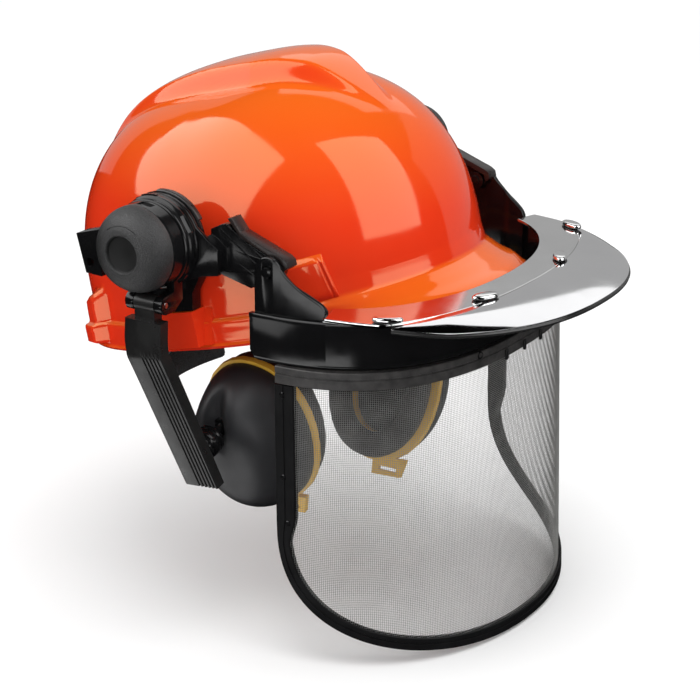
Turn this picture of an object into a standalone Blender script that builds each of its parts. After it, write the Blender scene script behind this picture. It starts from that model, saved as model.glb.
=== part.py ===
"""Hard hat with a flip-up mesh visor, a moulded peak and a pair of ear muffs.

Units are metres, +Z is up, -Y is the front, +X is the wearer's left.  The
origin is the centre of the head opening, on the plane of the shell's rim.
The shell is pitched front-up about X, so the visor hangs vertically.
"""
import math
import bpy
import bmesh
from mathutils import Matrix, Vector

MM = 0.001
GAP = 0.3                      # clearance between neighbouring pieces, mm

# ---- driving dimensions, mm and degrees -------------------------------------
PITCH = math.radians(13.0)     # shell, front up
PLAN_N = 2.2                   # superellipse exponent of the shell's plan
HALF_WIDTH = 106.0
FRONT = 123.0
REAR = 116.0
BAND_H = 26.0
DOME_H = 112.0
DOME_N = 2.38
WALL = 2.4
FLANGE = 5.0
BRIM_TIP = 150.0
CREST_H = 12.0

HB_R = 76.0                    # head band radius at the nape and half width
HB_CY = 17.0
HB_FRONT = 112.0
TAIL_R = (78.0, 80.0)          # inner and outer nape tails
TAIL_Z = (-36.0, -22.0)

EAR_Z = 66.5                   # ear pivot axis height, axis along X at y = 0
EAR_DISC = (107.5, 121.0, 26.4)
EAR_WASHER = (121.3, 124.3, 26.0)
EAR_RING = (124.6, 134.0, 26.0)
EAR_CAP = (134.3, 160.0, 24.0)
FLIP_X, FLIP_Z = 141.0, 36.0   # fold-out hinge of the arm, axis along Y
ARM_TOP = (145.0, -3.5, 10.0)
ARM_END = (121.0, -24.0, -74.0)
ARM_W, ARM_T = 24.5, 7.6

CUP_C = (66.0, -27.0, -56.0)   # centre of the cup's ring plane, near side
CUP_ROLL = math.radians(16.0)  # bottom leans in
CUP_TILT = math.radians(5.0)  # outline leans forward at the bottom
CUP_HY, CUP_HZ = 35.5, 46.5
CUP_DEPTH = 38.0
PIVOT_T, PIVOT_Y = 18.5, 6.0   # cup pivot above and behind the cup's centre
SLIDE = 15.0                   # height adjustment of a cup along its arm

VIS_Y, VIS_Z = -66.5, 57.5     # visor hinge, axis along X
VIS_HW = 119.5
VIS_FRONT = 156.5
VIS_LEAN = 12.0                # visor's lower edge stands this far forward
VIS_TOP, VIS_SIDE, VIS_LOW = 5.0, -84.0, -165.0
VIS_SIDE_Y = -69.4
PEAK_Z = 36.0

# ---- scene, collections, materials ------------------------------------------
for ob in list(bpy.data.objects):
    bpy.data.objects.remove(ob, do_unlink=True)
for me in list(bpy.data.meshes):
    bpy.data.meshes.remove(me)

PARTS = bpy.data.collections.new("hard_hat")
CUTTERS = bpy.data.collections.new("cutters")
bpy.context.scene.collection.children.link(PARTS)
bpy.context.scene.collection.children.link(CUTTERS)


def material(name, rgb, rough, metal=0.0):
    m = bpy.data.materials.new(name)
    m.use_nodes = True
    b = m.node_tree.nodes["Principled BSDF"]
    b.inputs["Base Color"].default_value = (*rgb, 1.0)
    b.inputs["Roughness"].default_value = rough
    b.inputs["Metallic"].default_value = metal
    m.diffuse_color = (*rgb, 1.0)
    return m


LOOKS = {
    "orange": ((0.90, 0.12, 0.03), 0.18, 0.0),
    "black_gloss": ((0.015, 0.015, 0.016), 0.22, 0.0),
    "black_satin": ((0.025, 0.025, 0.027), 0.42, 0.0),
    "grey_cup": ((0.050, 0.052, 0.056), 0.45, 0.0),
    "amber": ((0.70, 0.42, 0.06), 0.40, 0.0),
    "foam": ((0.020, 0.020, 0.020), 0.80, 0.0),
    "webbing": ((0.040, 0.040, 0.045), 0.75, 0.0),
    "chrome": ((0.75, 0.76, 0.78), 0.08, 1.0),
    "silver": ((0.60, 0.61, 0.63), 0.30, 0.6),
    "mesh": ((0.20, 0.20, 0.20), 0.50, 0.4),
    "steel": ((0.45, 0.45, 0.46), 0.30, 1.0),
}


def to_row(p):
    """Shell frame (mm) to the part's frame (mm)."""
    x, y, z = p
    c, s = math.cos(PITCH), math.sin(PITCH)
    return (x, y * c + z * s, z * c - y * s)


SHELL_M = Matrix.Rotation(-PITCH, 4, "X")


# ---- modelling helpers -------------------------------------------------------
def link(ob, cutter=False):
    (CUTTERS if cutter else PARTS).objects.link(ob)
    if cutter:
        ob.hide_render = True
        ob.display_type = "WIRE"
    return ob


def mesh_object(name, bm, look=None, cutter=False, smooth=True):
    me = bpy.data.meshes.new(name)
    bm.to_mesh(me)
    bm.free()
    ob = link(bpy.data.objects.new(name, me), cutter)
    if look:
        finish(ob, look, smooth)
    return ob


def finish(ob, look, smooth=True):
    ob.data.materials.clear()
    rgb, rough, metal = LOOKS[look]
    ob.data.materials.append(material(ob.name + "_" + look, rgb, rough, metal))
    if smooth:
        ob.data.shade_smooth()
        ob.data.set_sharp_from_angle(angle=math.radians(35))
    return ob


def box(name, lo, hi, look=None, cutter=False, m=None):
    bm = bmesh.new()
    bmesh.ops.create_cube(bm, size=1.0)
    c = [(a + b) / 2 * MM for a, b in zip(lo, hi)]
    s = [abs(b - a) * MM for a, b in zip(lo, hi)]
    bmesh.ops.scale(bm, vec=s, verts=bm.verts)
    bmesh.ops.translate(bm, vec=c, verts=bm.verts)
    if m is not None:
        bmesh.ops.transform(bm, matrix=m, verts=bm.verts)
        bmesh.ops.recalc_face_normals(bm, faces=bm.faces)
    return mesh_object(name, bm, look, cutter, smooth=False)


AXES = {"X": Matrix.Rotation(math.radians(90), 4, "Y"),
        "Y": Matrix.Rotation(math.radians(-90), 4, "X"),
        "Z": Matrix.Identity(4)}


def cylinder(name, r, a, b, at, axis="X", look=None, cutter=False, n=24, m=None):
    """Cylinder along an axis from a to b; `at` holds the two other coordinates."""
    bm = bmesh.new()
    bmesh.ops.create_cone(bm, cap_ends=True, segments=n, radius1=r * MM,
                          radius2=r * MM, depth=abs(b - a) * MM)
    bmesh.ops.transform(bm, matrix=AXES[axis], verts=bm.verts)
    mid = (a + b) / 2
    pos = {"X": (mid, at[0], at[1]), "Y": (at[0], mid, at[1]),
           "Z": (at[0], at[1], mid)}[axis]
    bmesh.ops.translate(bm, vec=[v * MM for v in pos], verts=bm.verts)
    if m is not None:
        bmesh.ops.transform(bm, matrix=m, verts=bm.verts)
        bmesh.ops.recalc_face_normals(bm, faces=bm.faces)
    return mesh_object(name, bm, look, cutter)


def turned(name, profile, m, look=None, n=24, cutter=False):
    """Profile of (radius, height) run down its outer side, turned about local Z."""
    me = bpy.data.meshes.new(name)
    pts = [(r * MM, 0.0, z * MM) for r, z in profile]
    closed = profile[0][0] > 0.001 and profile[-1][0] > 0.001
    edges = [(i, i + 1) for i in range(len(pts) - 1)]
    if closed:
        edges.append((len(pts) - 1, 0))
    me.from_pydata(pts, edges, [])
    ob = link(bpy.data.objects.new(name, me), cutter)
    s = ob.modifiers.new("turn", "SCREW")
    s.axis, s.angle, s.screw_offset = "Z", math.tau, 0.0
    s.steps = s.render_steps = n
    s.use_merge_vertices = True
    s.merge_threshold = 0.00001
    bake(ob)
    ob.data.transform(m)
    if m.determinant() < 0:
        ob.data.flip_normals()
    if look:
        finish(ob, look)
    return ob


def outline(name, pts, a, b, plane="YZ", look=None, cutter=False, m=None, bevel=0.0):
    """A flat outline in a plane, extruded from a to b along the third axis."""
    cu = bpy.data.curves.new(name, "CURVE")
    cu.dimensions, cu.fill_mode = "2D", "BOTH"
    sp = cu.splines.new("POLY")
    sp.points.add(len(pts) - 1)
    for q, (u, v) in zip(sp.points, pts):
        q.co = (u * MM, v * MM, 0.0, 1.0)
    sp.use_cyclic_u = True
    cu.extrude = abs(b - a) / 2 * MM
    mid = (a + b) / 2 * MM
    base = {"YZ": Matrix(((0, 0, 1, mid), (1, 0, 0, 0), (0, 1, 0, 0), (0, 0, 0, 1))),
            "XZ": Matrix(((1, 0, 0, 0), (0, 0, -1, mid), (0, 1, 0, 0), (0, 0, 0, 1))),
            "XY": Matrix(((1, 0, 0, 0), (0, 1, 0, 0), (0, 0, 1, mid), (0, 0, 0, 1)))}[plane]
    tmp = bpy.data.objects.new(name + "_curve", cu)
    PARTS.objects.link(tmp)
    bpy.context.view_layer.update()
    dg = bpy.context.evaluated_depsgraph_get()
    me = bpy.data.meshes.new_from_object(tmp.evaluated_get(dg))
    bpy.data.objects.remove(tmp, do_unlink=True)
    bm = bmesh.new()
    bm.from_mesh(me)
    bmesh.ops.remove_doubles(bm, verts=bm.verts, dist=0.000005)
    bmesh.ops.transform(bm, matrix=base if m is None else m @ base, verts=bm.verts)
    bmesh.ops.recalc_face_normals(bm, faces=bm.faces)
    me.name = name
    bm.to_mesh(me)
    bm.free()
    ob = link(bpy.data.objects.new(name, me), cutter)
    if look:
        finish(ob, look)
    return ob


def loft(name, rings, look=None, cutter=False, close=False, m=None):
    """Closed body through rings of equal point count; ends are capped."""
    bm = bmesh.new()
    vs = [[bm.verts.new([c * MM for c in p]) for p in r] for r in rings]
    n = len(rings[0])
    pairs = list(zip(vs, vs[1:])) + ([(vs[-1], vs[0])] if close else [])
    for a, b in pairs:
        for i in range(n):
            j = (i + 1) % n
            bm.faces.new((a[i], a[j], b[j], b[i]))
    if not close:
        bm.faces.new(list(reversed(vs[0])))
        bm.faces.new(vs[-1])
    if m is not None:
        bmesh.ops.transform(bm, matrix=m, verts=bm.verts)
    bmesh.ops.recalc_face_normals(bm, faces=bm.faces)
    return mesh_object(name, bm, look, cutter)


def sheet(name, rows, thickness, look=None, closed_u=False, offset=0.0, pole=None,
          m=None, flip=False, cutter=False):
    """Open surface through rows of points, made solid with Solidify."""
    bm = bmesh.new()
    vs = [[bm.verts.new([c * MM for c in p]) for p in r] for r in rows]
    n = len(rows[0])
    for a, b in zip(vs, vs[1:]):
        for i in range(n if closed_u else n - 1):
            j = (i + 1) % n
            f = (a[i], a[j], b[j], b[i])
            bm.faces.new(f[::-1] if flip else f)
    if pole is not None:
        p = bm.verts.new([c * MM for c in pole])
        for i in range(n if closed_u else n - 1):
            f = (vs[-1][i], vs[-1][(i + 1) % n], p)
            bm.faces.new(f[::-1] if flip else f)
    if m is not None:
        bmesh.ops.transform(bm, matrix=m, verts=bm.verts)
    ob = mesh_object(name, bm, None, cutter)
    so = ob.modifiers.new("wall", "SOLIDIFY")
    so.thickness, so.offset = thickness * MM, offset
    so.use_even_offset = True
    bake(ob)
    bm = bmesh.new()
    bm.from_mesh(ob.data)
    bmesh.ops.recalc_face_normals(bm, faces=bm.faces)
    bm.to_mesh(ob.data)
    bm.free()
    if look:
        finish(ob, look)
    return ob


def bake(ob):
    """Replace an object's mesh by its evaluated one and drop its modifiers."""
    bpy.context.view_layer.update()
    dg = bpy.context.evaluated_depsgraph_get()
    me = bpy.data.meshes.new_from_object(ob.evaluated_get(dg))
    old = ob.data
    ob.modifiers.clear()
    ob.data = me
    me.name = ob.name
    bpy.data.meshes.remove(old)


def combine(ob, others, op):
    """Boolean of ob with each of others, which are removed afterwards."""
    mats = [s for s in ob.data.materials]
    for o in others:
        mod = ob.modifiers.new(op.lower(), "BOOLEAN")
        mod.operation, mod.object, mod.solver = op, o, "EXACT"
        bake(ob)
        bpy.data.objects.remove(o, do_unlink=True)
    bm = bmesh.new()
    bm.from_mesh(ob.data)
    bmesh.ops.remove_doubles(bm, verts=bm.verts, dist=0.000002)
    bmesh.ops.dissolve_degenerate(bm, edges=bm.edges, dist=0.000002)
    bm.to_mesh(ob.data)
    bm.free()
    if mats:
        ob.data.materials.clear()
        ob.data.materials.append(mats[0])
        for f in ob.data.polygons:
            f.material_index = 0
        ob.data.shade_smooth()
        ob.data.set_sharp_from_angle(angle=math.radians(35))
    return ob


def union(ob, *others):
    return combine(ob, others, "UNION")


def cut(ob, *others):
    return combine(ob, others, "DIFFERENCE")


def empty(name, at, rot=None):
    e = bpy.data.objects.new(name, None)
    e.location = [c * MM for c in at]
    if rot is not None:
        e.rotation_euler = rot
    PARTS.objects.link(e)
    return e


def carry(e, *obs):
    """Parent pieces to the empty on their joint's axis without moving them."""
    bpy.context.view_layer.update()
    for o in obs:
        o.parent = e
        o.matrix_parent_inverse = e.matrix_world.inverted()


# ---- shell -------------------------------------------------------------------
def plan_r(th):
    c, s = math.cos(th), math.sin(th)
    b = FRONT if s < 0 else REAR
    return (abs(c / HALF_WIDTH) ** PLAN_N + abs(s / b) ** PLAN_N) ** (-1 / PLAN_N)


def smooth(t):
    t = max(0.0, min(1.0, t))
    return t * t * (3 - 2 * t)


def brim_r(th):
    """Distance from the axis to the brim's outline along a direction."""
    c, s = math.cos(th), math.sin(th)
    if s >= -0.05:
        return 0.0
    lo, hi = 0.0, 200.0
    for _ in range(40):
        r = (lo + hi) / 2
        x, y = abs(r * c), -(r * s) - 35.0
        f = (x / 101.0) ** 2.1 + (max(y, 0.0) / (BRIM_TIP - 35.0)) ** 2.1
        lo, hi = (r, hi) if f < 1 else (lo, r)
    return lo


def crest(x, y):
    w = 5.0 + 29.0 * max(0.0, min(1.0, (y + 98.0) / 70.0)) ** 0.8
    h = CREST_H * smooth((y + 98.0) / 42.0) * (1 - 0.7 * smooth((y + 10.0) / 110.0))
    h *= 1 - smooth((y - 70.0) / 40.0)
    return h * smooth((w - abs(x)) / 9.0 + 0.3)


def rear_drop(y):
    """The dome is a little lower behind the crest's front half."""
    return 3.6 * smooth((y + 50.0) / 50.0) * (1.0 - smooth((y - 12.0) / 60.0))


def wall_pt(th, z, off=0.0):
    """Point on the shell's outer face at a direction and height, moved out by off."""
    k = 1.0
    if z > BAND_H:
        u = ((z - BAND_H) / DOME_H) ** (DOME_N / 2)
        k = (1 - u * u) ** (1 / DOME_N)
    r = plan_r(th) * k - 0.4 * min(1.0, z / BAND_H) + off
    return (r * math.cos(th), r * math.sin(th), z)


def shell_rows(nu):
    ths = [math.tau * i / nu for i in range(nu)]
    rows = []

    def row(off, z):
        out = []
        for th in ths:
            r = plan_r(th)
            e = brim_r(th) - r
            f = smooth((e - 2.0) / 14.0)
            o, zz = off(e, f), z(e, f)
            out.append(to_row(((r + o) * math.cos(th), (r + o) * math.sin(th), zz)))
        rows.append(out)
    row(lambda e, f: max(FLANGE, e), lambda e, f: -0.5)
    row(lambda e, f: max(FLANGE, e) - 1.5 - 2 * f, lambda e, f: 1.0 + 1.2 * f)
    row(lambda e, f: 0.6 + max(0.0, e) * 0.5 * f, lambda e, f: 2.2 + 6.0 * f)
    row(lambda e, f: 0.3 + 1.5 * f, lambda e, f: 6.0 + 9.0 * f)
    row(lambda e, f: 0.0, lambda e, f: 16.0 + 4 * f)
    row(lambda e, f: -0.4, lambda e, f: BAND_H)
    for ph in (80, 70, 60, 50, 41, 32, 24, 16, 8):
        k = math.sin(math.radians(ph)) ** (2 / DOME_N)
        zz = BAND_H + DOME_H * math.cos(math.radians(ph)) ** (2 / DOME_N)
        out = []
        for th in ths:
            r = plan_r(th) * k - 0.4
            x, y = r * math.cos(th), r * math.sin(th)
            c = crest(x, y)
            u = math.cos(math.radians(ph))
            out.append(to_row((x, y * (1 + c / DOME_H * 0.6 * (1 - u)), zz + c * (0.3 + 0.7 * u) - rear_drop(y) * u)))
        rows.append(out)
    return rows, to_row((0, 0, BAND_H + DOME_H + crest(0, 0) - rear_drop(0)))


rows, top = shell_rows(56)
shell = sheet("shell", rows, WALL, "orange", closed_u=True, offset=-1.0, pole=top)
adds = []
for s in (-1, 1):
    # socket for the ear muff's foot, open at its top
    adds.append(box("socket_boss", (s * 104.5, -19.5, 2), (s * 117, 9, 21.7), cutter=True, m=SHELL_M))
    # rear lug follows the wall's direction
    m = SHELL_M @ Matrix.Translation((s * 92 * MM, 59 * MM, 20 * MM)) @ Matrix.Rotation(s * math.radians(-24), 4, "Z")
    adds.append(outline("rear_lug", [(-9, -19), (8, -19), (9, 9), (-3, 15), (-8, 10)], -6.5 if s > 0 else -7.5, 7.5 if s > 0 else 6.5,
                        "YZ", cutter=True, m=m))
    # raised front panel above the brim: flat top edge, slanted front edge
    panel = [(217, 37.0), (221.8, 40.8), (227.2, 41.2), (228.6, 30.0), (229.6, 18.0), (221.8, 13.0), (214, 14.0)]
    rings = []
    for off in (-1.4, 2.2):
        k = 1.0 if off < 0 else 0.92
        mt, mz = 222.4, 28.0
        rings.append([wall_pt(math.radians(mt + (t_ - mt) * k) if s < 0 else math.radians(540 - mt - (t_ - mt) * k), mz + (z_ - mz) * k, off)
                      for t_, z_ in panel])
    adds.append(loft("front_panel", rings, cutter=True, m=SHELL_M))
union(shell, *adds)
cut(shell, *[box("socket_slot", (s * 109.5, -15.2, 6), (s * 113.5, 5.2, 40), cutter=True, m=SHELL_M) for s in (-1, 1)])


def wall_in(th, z):
    """Inner radius of the shell wall at a low height."""
    return plan_r(th) - WALL - 0.6 - 0.01 * max(0.0, z - 16) ** 1.5


# ---- head band, straps and keys ----------------------------------------------
def band_pt(th, off=0.0):
    """Point on the head band's line; th is the angle about (0, HB_CY)."""
    c, s = math.cos(th), math.sin(th)
    if s >= 0:
        r = HB_R + off
    else:
        r = (abs(c / (HB_R + off)) ** 2.1 + abs(s / (HB_FRONT + off)) ** 2.1) ** (-1 / 2.1)
    return r * c, HB_CY + r * s


def band_z(th):
    """Lower and upper edge of the head band."""
    s = math.sin(th)
    back = smooth(s / 0.8)
    front = smooth(-s)
    return -3.0 - 33.0 * back - 6.0 * front, 18.0 - 12.0 * back + 5.0 * front


def arc(a, b, n):
    return [math.radians(a + (b - a) * i / (n - 1)) for i in range(n)]


def ribbon(name, ths, off, thick, look, zf=band_z, dz=(0, 0), nz=2):
    rows = []
    for k in range(nz):
        row = []
        for th in ths:
            lo, hi = zf(th)
            lo, hi = lo + dz[0], hi + dz[1]
            x, y = band_pt(th, off)
            row.append(to_row((x, y, lo + (hi - lo) * k / (nz - 1))))
        rows.append(row)
    return sheet(name, rows, thick, look)


headband = ribbon("headband", arc(56, -236, 57), 0.0, 1.6, "black_satin")
brow_pad = ribbon("brow_pad", arc(-22, -158, 25), -2.6, 3.0, "foam", dz=(1.5, -1.5))

AZ = [(0, 180), (-55, 125), (-125, 55)]
keys = []


def hb_dist(az):
    """Distance from the origin to the head band along an azimuth."""
    best = None
    for i in range(721):
        th = math.tau * i / 720
        x, y = band_pt(th)
        d = abs((math.atan2(y, x) - az + math.pi) % math.tau - math.pi)
        if best is None or d < best[0]:
            best = (d, math.hypot(x, y))
    return best[1]


n_key = 0
for layer, pair in enumerate(AZ):
    prof = []
    for deg in pair:
        az = math.radians(deg)
        rim = wall_in(az, 20) - 7.2
        prof.append((az, rim))
    # strap: rises from both keys and crosses the crown
    W = 9.0
    rows = [[], []]
    topz = 98.0 + 2.2 * layer
    for end, (az, rim) in enumerate(prof):
        seq = [(rim, 13.0), (rim, 19.0)] + [
            (rim * math.sin(math.radians(p)) ** (2 / 2.5), 24.0 + (topz - 24.0) * math.cos(math.radians(p)) ** (2 / 2.5))
            for p in (84, 74, 62, 50, 38, 26, 14)]
        pts = seq if end == 0 else seq[::-1]
        if end == 1:
            pts = [(0.0, topz)] + pts
        for rho, z in pts:
            x, y = rho * math.cos(az), rho * math.sin(az)
            az0 = math.radians(pair[0])
            nx, ny = -math.sin(az0), math.cos(az0)
            for k, w in ((0, -W), (1, W)):
                rows[k].append(to_row((x + nx * w, y + ny * w, z)))
    strap = sheet("crown_strap_" + "abc"[layer], rows, 1.2, "webbing")
    cut(strap, cylinder("hole", 2.3, 80, 125, (0, 0), "Z", cutter=True, n=12, m=SHELL_M))
    for az, rim in prof:
        n_key += 1
        rw, hb = wall_in(az, 20), hb_dist(az)
        hx, hy = band_pt(az)
        lo, hi = band_z(math.atan2(math.sin(az) * hb - HB_CY, math.cos(az) * hb))
        pts = [(rw - 1.0, 10), (rw - 1.0, 24), (rw - 5.6, 24), (rw - 5.6, 9), (hb + 6.5, hi + 2.5),
               (hb - 3.4, hi + 2.5), (hb - 3.4, hi + 0.8), (hb + 2.6, hi + 0.8), (hb + 2.6, hi - 9), (hb + 5.0, hi - 9),
               (hb + 5.6, hi - 2)]
        m = SHELL_M @ Matrix.Rotation(az, 4, "Z")
        key = outline("strap_key_%d" % n_key, pts, -7, 7, "XZ", "black_satin", m=m)
        keys.append(key)
crown_rivet = turned("crown_rivet", [(0, 105.0), (3.0, 105.0), (4.5, 103.9), (2.0, 103.9), (2.0, 96.2),
                                      (5.0, 96.2), (5.0, 95.2), (0, 94.8)], SHELL_M, "black_satin", n=12)


def tail_z(th):
    return TAIL_Z


tails = []
for nm, r, lo, hi in (("nape_tail_left", TAIL_R[0], 36, 108), ("nape_tail_right", TAIL_R[1], 144, 72)):
    t = ribbon(nm, arc(lo, hi, 15), r - HB_R, 1.4, "black_satin", zf=tail_z)
    a, b = (76, 104)
    slot_rows = [[to_row(((r) * math.cos(th), HB_CY + r * math.sin(th), z)) for th in arc(a, b, 8)] for z in (-33.6, -24.4)]
    cut(t, sheet("slot", slot_rows, 4.0, cutter=True))
    tails.append(t)
KN_Z = -29.0


def seg(name, r0, r1, z0, z1, a, b, n=9, **kw):
    """Part of a ring about the nape's arc."""
    rings = []
    for th in arc(a, b, n):
        c, s = math.cos(th), math.sin(th)
        rings.append([to_row((r * c, HB_CY + r * s, z)) for r, z in ((r0, z0), (r1, z0), (r1, z1), (r0, z1))])
    return loft(name, rings, **kw)


housing = seg("ratchet_housing", 74.4, 84.0, -42, -16, 64, 116, look="black_gloss")
cut(housing, seg("cavity", 77.0, 81.6, -38.5, -19.5, 60, 120, n=12, cutter=True))
KY = HB_CY + 84.0
m_knob = SHELL_M @ Matrix.Translation((0, 0, KN_Z * MM)) @ Matrix.Rotation(math.radians(-90), 4, "X")
cut(housing, cylinder("bore", 3.5, 97, 104, (0, KN_Z), "Y", cutter=True, n=16, m=SHELL_M))
# gear with eight teeth on a stub shaft, in the slots of both tails
teeth = []
for i in range(16):
    a = math.tau * i / 16
    rr = 3.9 if i % 2 == 0 else 3.0
    for d in (-0.11, 0.11):
        teeth.append((rr * math.cos(a + d), KN_Z + rr * math.sin(a + d)))
pinion = outline("ratchet_pinion", teeth, 94.3, 98.2, "XZ", "black_satin", m=SHELL_M)
union(pinion, cylinder("shaft", 2.6, 97.5, 111.0, (0, KN_Z), "Y", cutter=True, n=16, m=SHELL_M))
knob = turned("ratchet_knob", [(3.0, 113.0), (9.0, 113.0), (15.0, 111.5), (16.5, 109.5), (17.0, 104.0), (16.2, 102.6),
                                (14.5, 101.6), (3.0, 101.6)], m_knob, "black_satin", n=20)
nape_pad = ribbon("nape_pad", arc(66, 114, 9), -5.2, 4.0, "foam", zf=lambda th: (-43.0, -15.0))


# ---- ear muffs ---------------------------------------------------------------
def mx(s, x):
    return s * x


def ear(s, tag):
    out = {}
    lo, hi, r = EAR_DISC
    ad = cylinder("ear_adapter_" + tag, 17.5, s * lo, s * (hi - 1.0), (0, EAR_Z), look="black_gloss", n=28)
    collar_ = cylinder("collar", r, s * (hi - 2.6), s * hi, (0, EAR_Z), cutter=True, n=32)
    tongue = box("tongue", (s * 109.9, -14.8, 7), (s * 113.1, 4.8, 42), cutter=True, m=SHELL_M)
    foot = outline("foot", [(-19.3, 22.1), (9, 22.1), (6, 36), (9, 54), (-10, 62), (-30, 52), (-29.5, 45.5), (-27.8, 39), (-21.8, 32)],
                   s * 108.0, s * 115.6, "YZ", cutter=True, m=SHELL_M)
    root = outline("root", [(20, 77), (42, 66.5), (57, 62), (51, 40), (40, 39.5), (20, 50)], s * 116, s * 120.9, "YZ", cutter=True)
    tab = outline("tab", [(41, 66.5), (57, 62), (51, 40), (40, 39.5)], s * 116, s * 127, "YZ", cutter=True)
    union(ad, collar_, foot, tongue, root, tab)
    cut(ad, cylinder("hole", 2.6, s * 110, s * 132, (48, 46.5), cutter=True, n=16),
        cylinder("bore", 8.4, s * 109.6, s * 130, (0, EAR_Z), cutter=True, n=24))
    out["adapter"] = ad
    out["pin"] = union(cylinder("ear_pivot_pin_" + tag, 8.0, s * 110.0, s * 135, (0, EAR_Z), look="steel", n=20),
                       cylinder("head", 12.0, s * 134.4, s * 138, (0, EAR_Z), cutter=True, n=20))
    # turning head: ring with two lugs for the fold-out hinge
    lo, hi, r = EAR_RING
    ring = cylinder("swing_ring_" + tag, r, s * lo, s * hi, (0, EAR_Z), look="black_gloss", n=32)
    lug = [(s * 126.5, 50), (s * 133.9, 50), (s * 133.9, 42.0), (s * 137, 41.6)]
    lug += [(s * (FLIP_X + 5.2 * math.cos(a)), FLIP_Z + 5.2 * math.sin(a)) for a in [math.radians(d) for d in (80, 50, 20, -10, -40, -70, -100)]]
    lug += [(s * 133.9, 31.0), (s * 126.5, 36.0)]
    union(ring, outline("lug", lug, -15.6, -10.6, "XZ", cutter=True), outline("lug", lug, 3.6, 8.6, "XZ", cutter=True))
    cut(ring, cylinder("bore", 8.4, s * 120, s * 140, (0, EAR_Z), cutter=True, n=24),
        cylinder("bore", 2.2, -20, 12, (s * FLIP_X, FLIP_Z), "Y", cutter=True, n=12))
    out["ring"] = ring
    m = Matrix.Translation((0, 0, EAR_Z * MM)) @ Matrix.Rotation(math.radians(90 * s), 4, "Y")
    out["cap"] = turned("pivot_cap_" + tag, [(0, 160), (8, 159.6), (15.5, 158), (21, 154.6), (23.6, 150.5), (24, 146),
                                              (24, 134.3), (12.8, 134.3), (12.8, 141.5), (0, 141.5)], m, "black_satin", n=28)
    out["flip_pin"] = cylinder("flip_pin_" + tag, 1.9, -15.4, 8.4, (s * FLIP_X, FLIP_Z), "Y", look="steel", n=12)
    # arm: barrel, neck, straight upper part and a lower part that leans in and forward
    d = Vector([b - a for a, b in zip(ARM_TOP, ARM_END)]).normalized()
    w = (Vector((0, 1, 0)) - d * d.y).normalized()
    rings = []
    path = [((143.6, -3.5, 27.0), 24.6, 7.6, 0), ((144.6, -3.5, 15.0), 24.8, 7.8, 0), ((144.6, -4.2, 7.0), 24.8, 7.8, 0.5),
            (tuple(Vector(ARM_TOP) + d * 12), 24.6, 7.8, 1), (ARM_END, 23.0, 7.0, 1)]
    for c, ww, tt, k in path:
        wv = Vector((0, 1, 0)).lerp(w, k).normalized()
        tv = Vector((1, 0, 0)).lerp(d.cross(w).normalized() * (1 if d.cross(w).x > 0 else -1), k).normalized()
        ring_pts = []
        for a, b in ((-1, -1), (1, -1), (1, 1), (-1, 1)):
            q = Vector(c) + wv * (a * ww / 2) + tv * (b * tt / 2)
            if c == ARM_END:
                q -= d * (3.0 if a > 0 else 0.0)
            ring_pts.append((s * q.x, q.y, q.z))
        rings.append(ring_pts)
    arm = loft("muff_arm_" + tag, rings, look="black_satin")
    union(arm, box("neck", (s * 138.4, -10.2, 24), (s * 145, 3.2, 36), cutter=True),
          cylinder("barrel", 5.0, -10.2, 3.2, (s * FLIP_X, FLIP_Z), "Y", cutter=True, n=16))
    cut(arm, cylinder("bore", 2.2, -20, 12, (s * FLIP_X, FLIP_Z), "Y", cutter=True, n=12))
    out["arm"] = arm
    # local frame of the cup: t up the ring plane, y, n outward
    et = Vector((s * math.sin(CUP_ROLL), 0, math.cos(CUP_ROLL)))
    en = Vector((s * math.cos(CUP_ROLL), 0, -math.sin(CUP_ROLL)))
    d_s = Vector((s * d.x, d.y, d.z))
    low = SLIDE if tag == "left" else 0.0
    cc = Vector((s * CUP_C[0], CUP_C[1], CUP_C[2])) + d_s * low

    def P(t, y, n):
        return tuple(cc + et * t + Vector((0, 1, 0)) * y + en * n)
    L = Matrix.Identity(4)
    for i in range(3):
        L[i][0], L[i][1], L[i][2], L[i][3] = (et[i], (0, 1, 0)[i], en[i], cc[i] * MM)
    # channel in the arm for the slider, on its inner face
    base = Vector((s * CUP_C[0], CUP_C[1], CUP_C[2]))
    piv = base + et * PIVOT_T + Vector((0, 1, 0)) * PIVOT_Y
    C = Matrix.Identity(4)
    wy = Vector((0, 1, 0)) - d_s * d_s.y
    wy.normalize()
    for i in range(3):
        C[i][0], C[i][1], C[i][2], C[i][3] = d_s[i], wy[i], en[i], piv[i] * MM
    cut(arm, box("channel", (-7, -3.6, 40), (SLIDE + 7, 3.6, 58.6), cutter=True, m=C))
    CL = C.copy()
    for i in range(3):
        CL[i][3] += d_s[i] * low * MM
    # slider: ringed knob, stud into the arm and neck into the cup
    prof = [(0, 58.0), (3.0, 58.0), (3.0, 53.2), (8.4, 53.2), (8.6, 51.0), (7.6, 49.6), (8.8, 48.0), (8.8, 44.6), (7.6, 43.2),
            (8.6, 41.8), (8.2, 40.4), (3.0, 40.4), (3.0, 31.0), (5.6, 30.4), (5.6, 28.8), (0, 28.8)]
    out["slider"] = turned("cup_slider_" + tag, prof, CL, "black_gloss", n=14)

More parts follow.
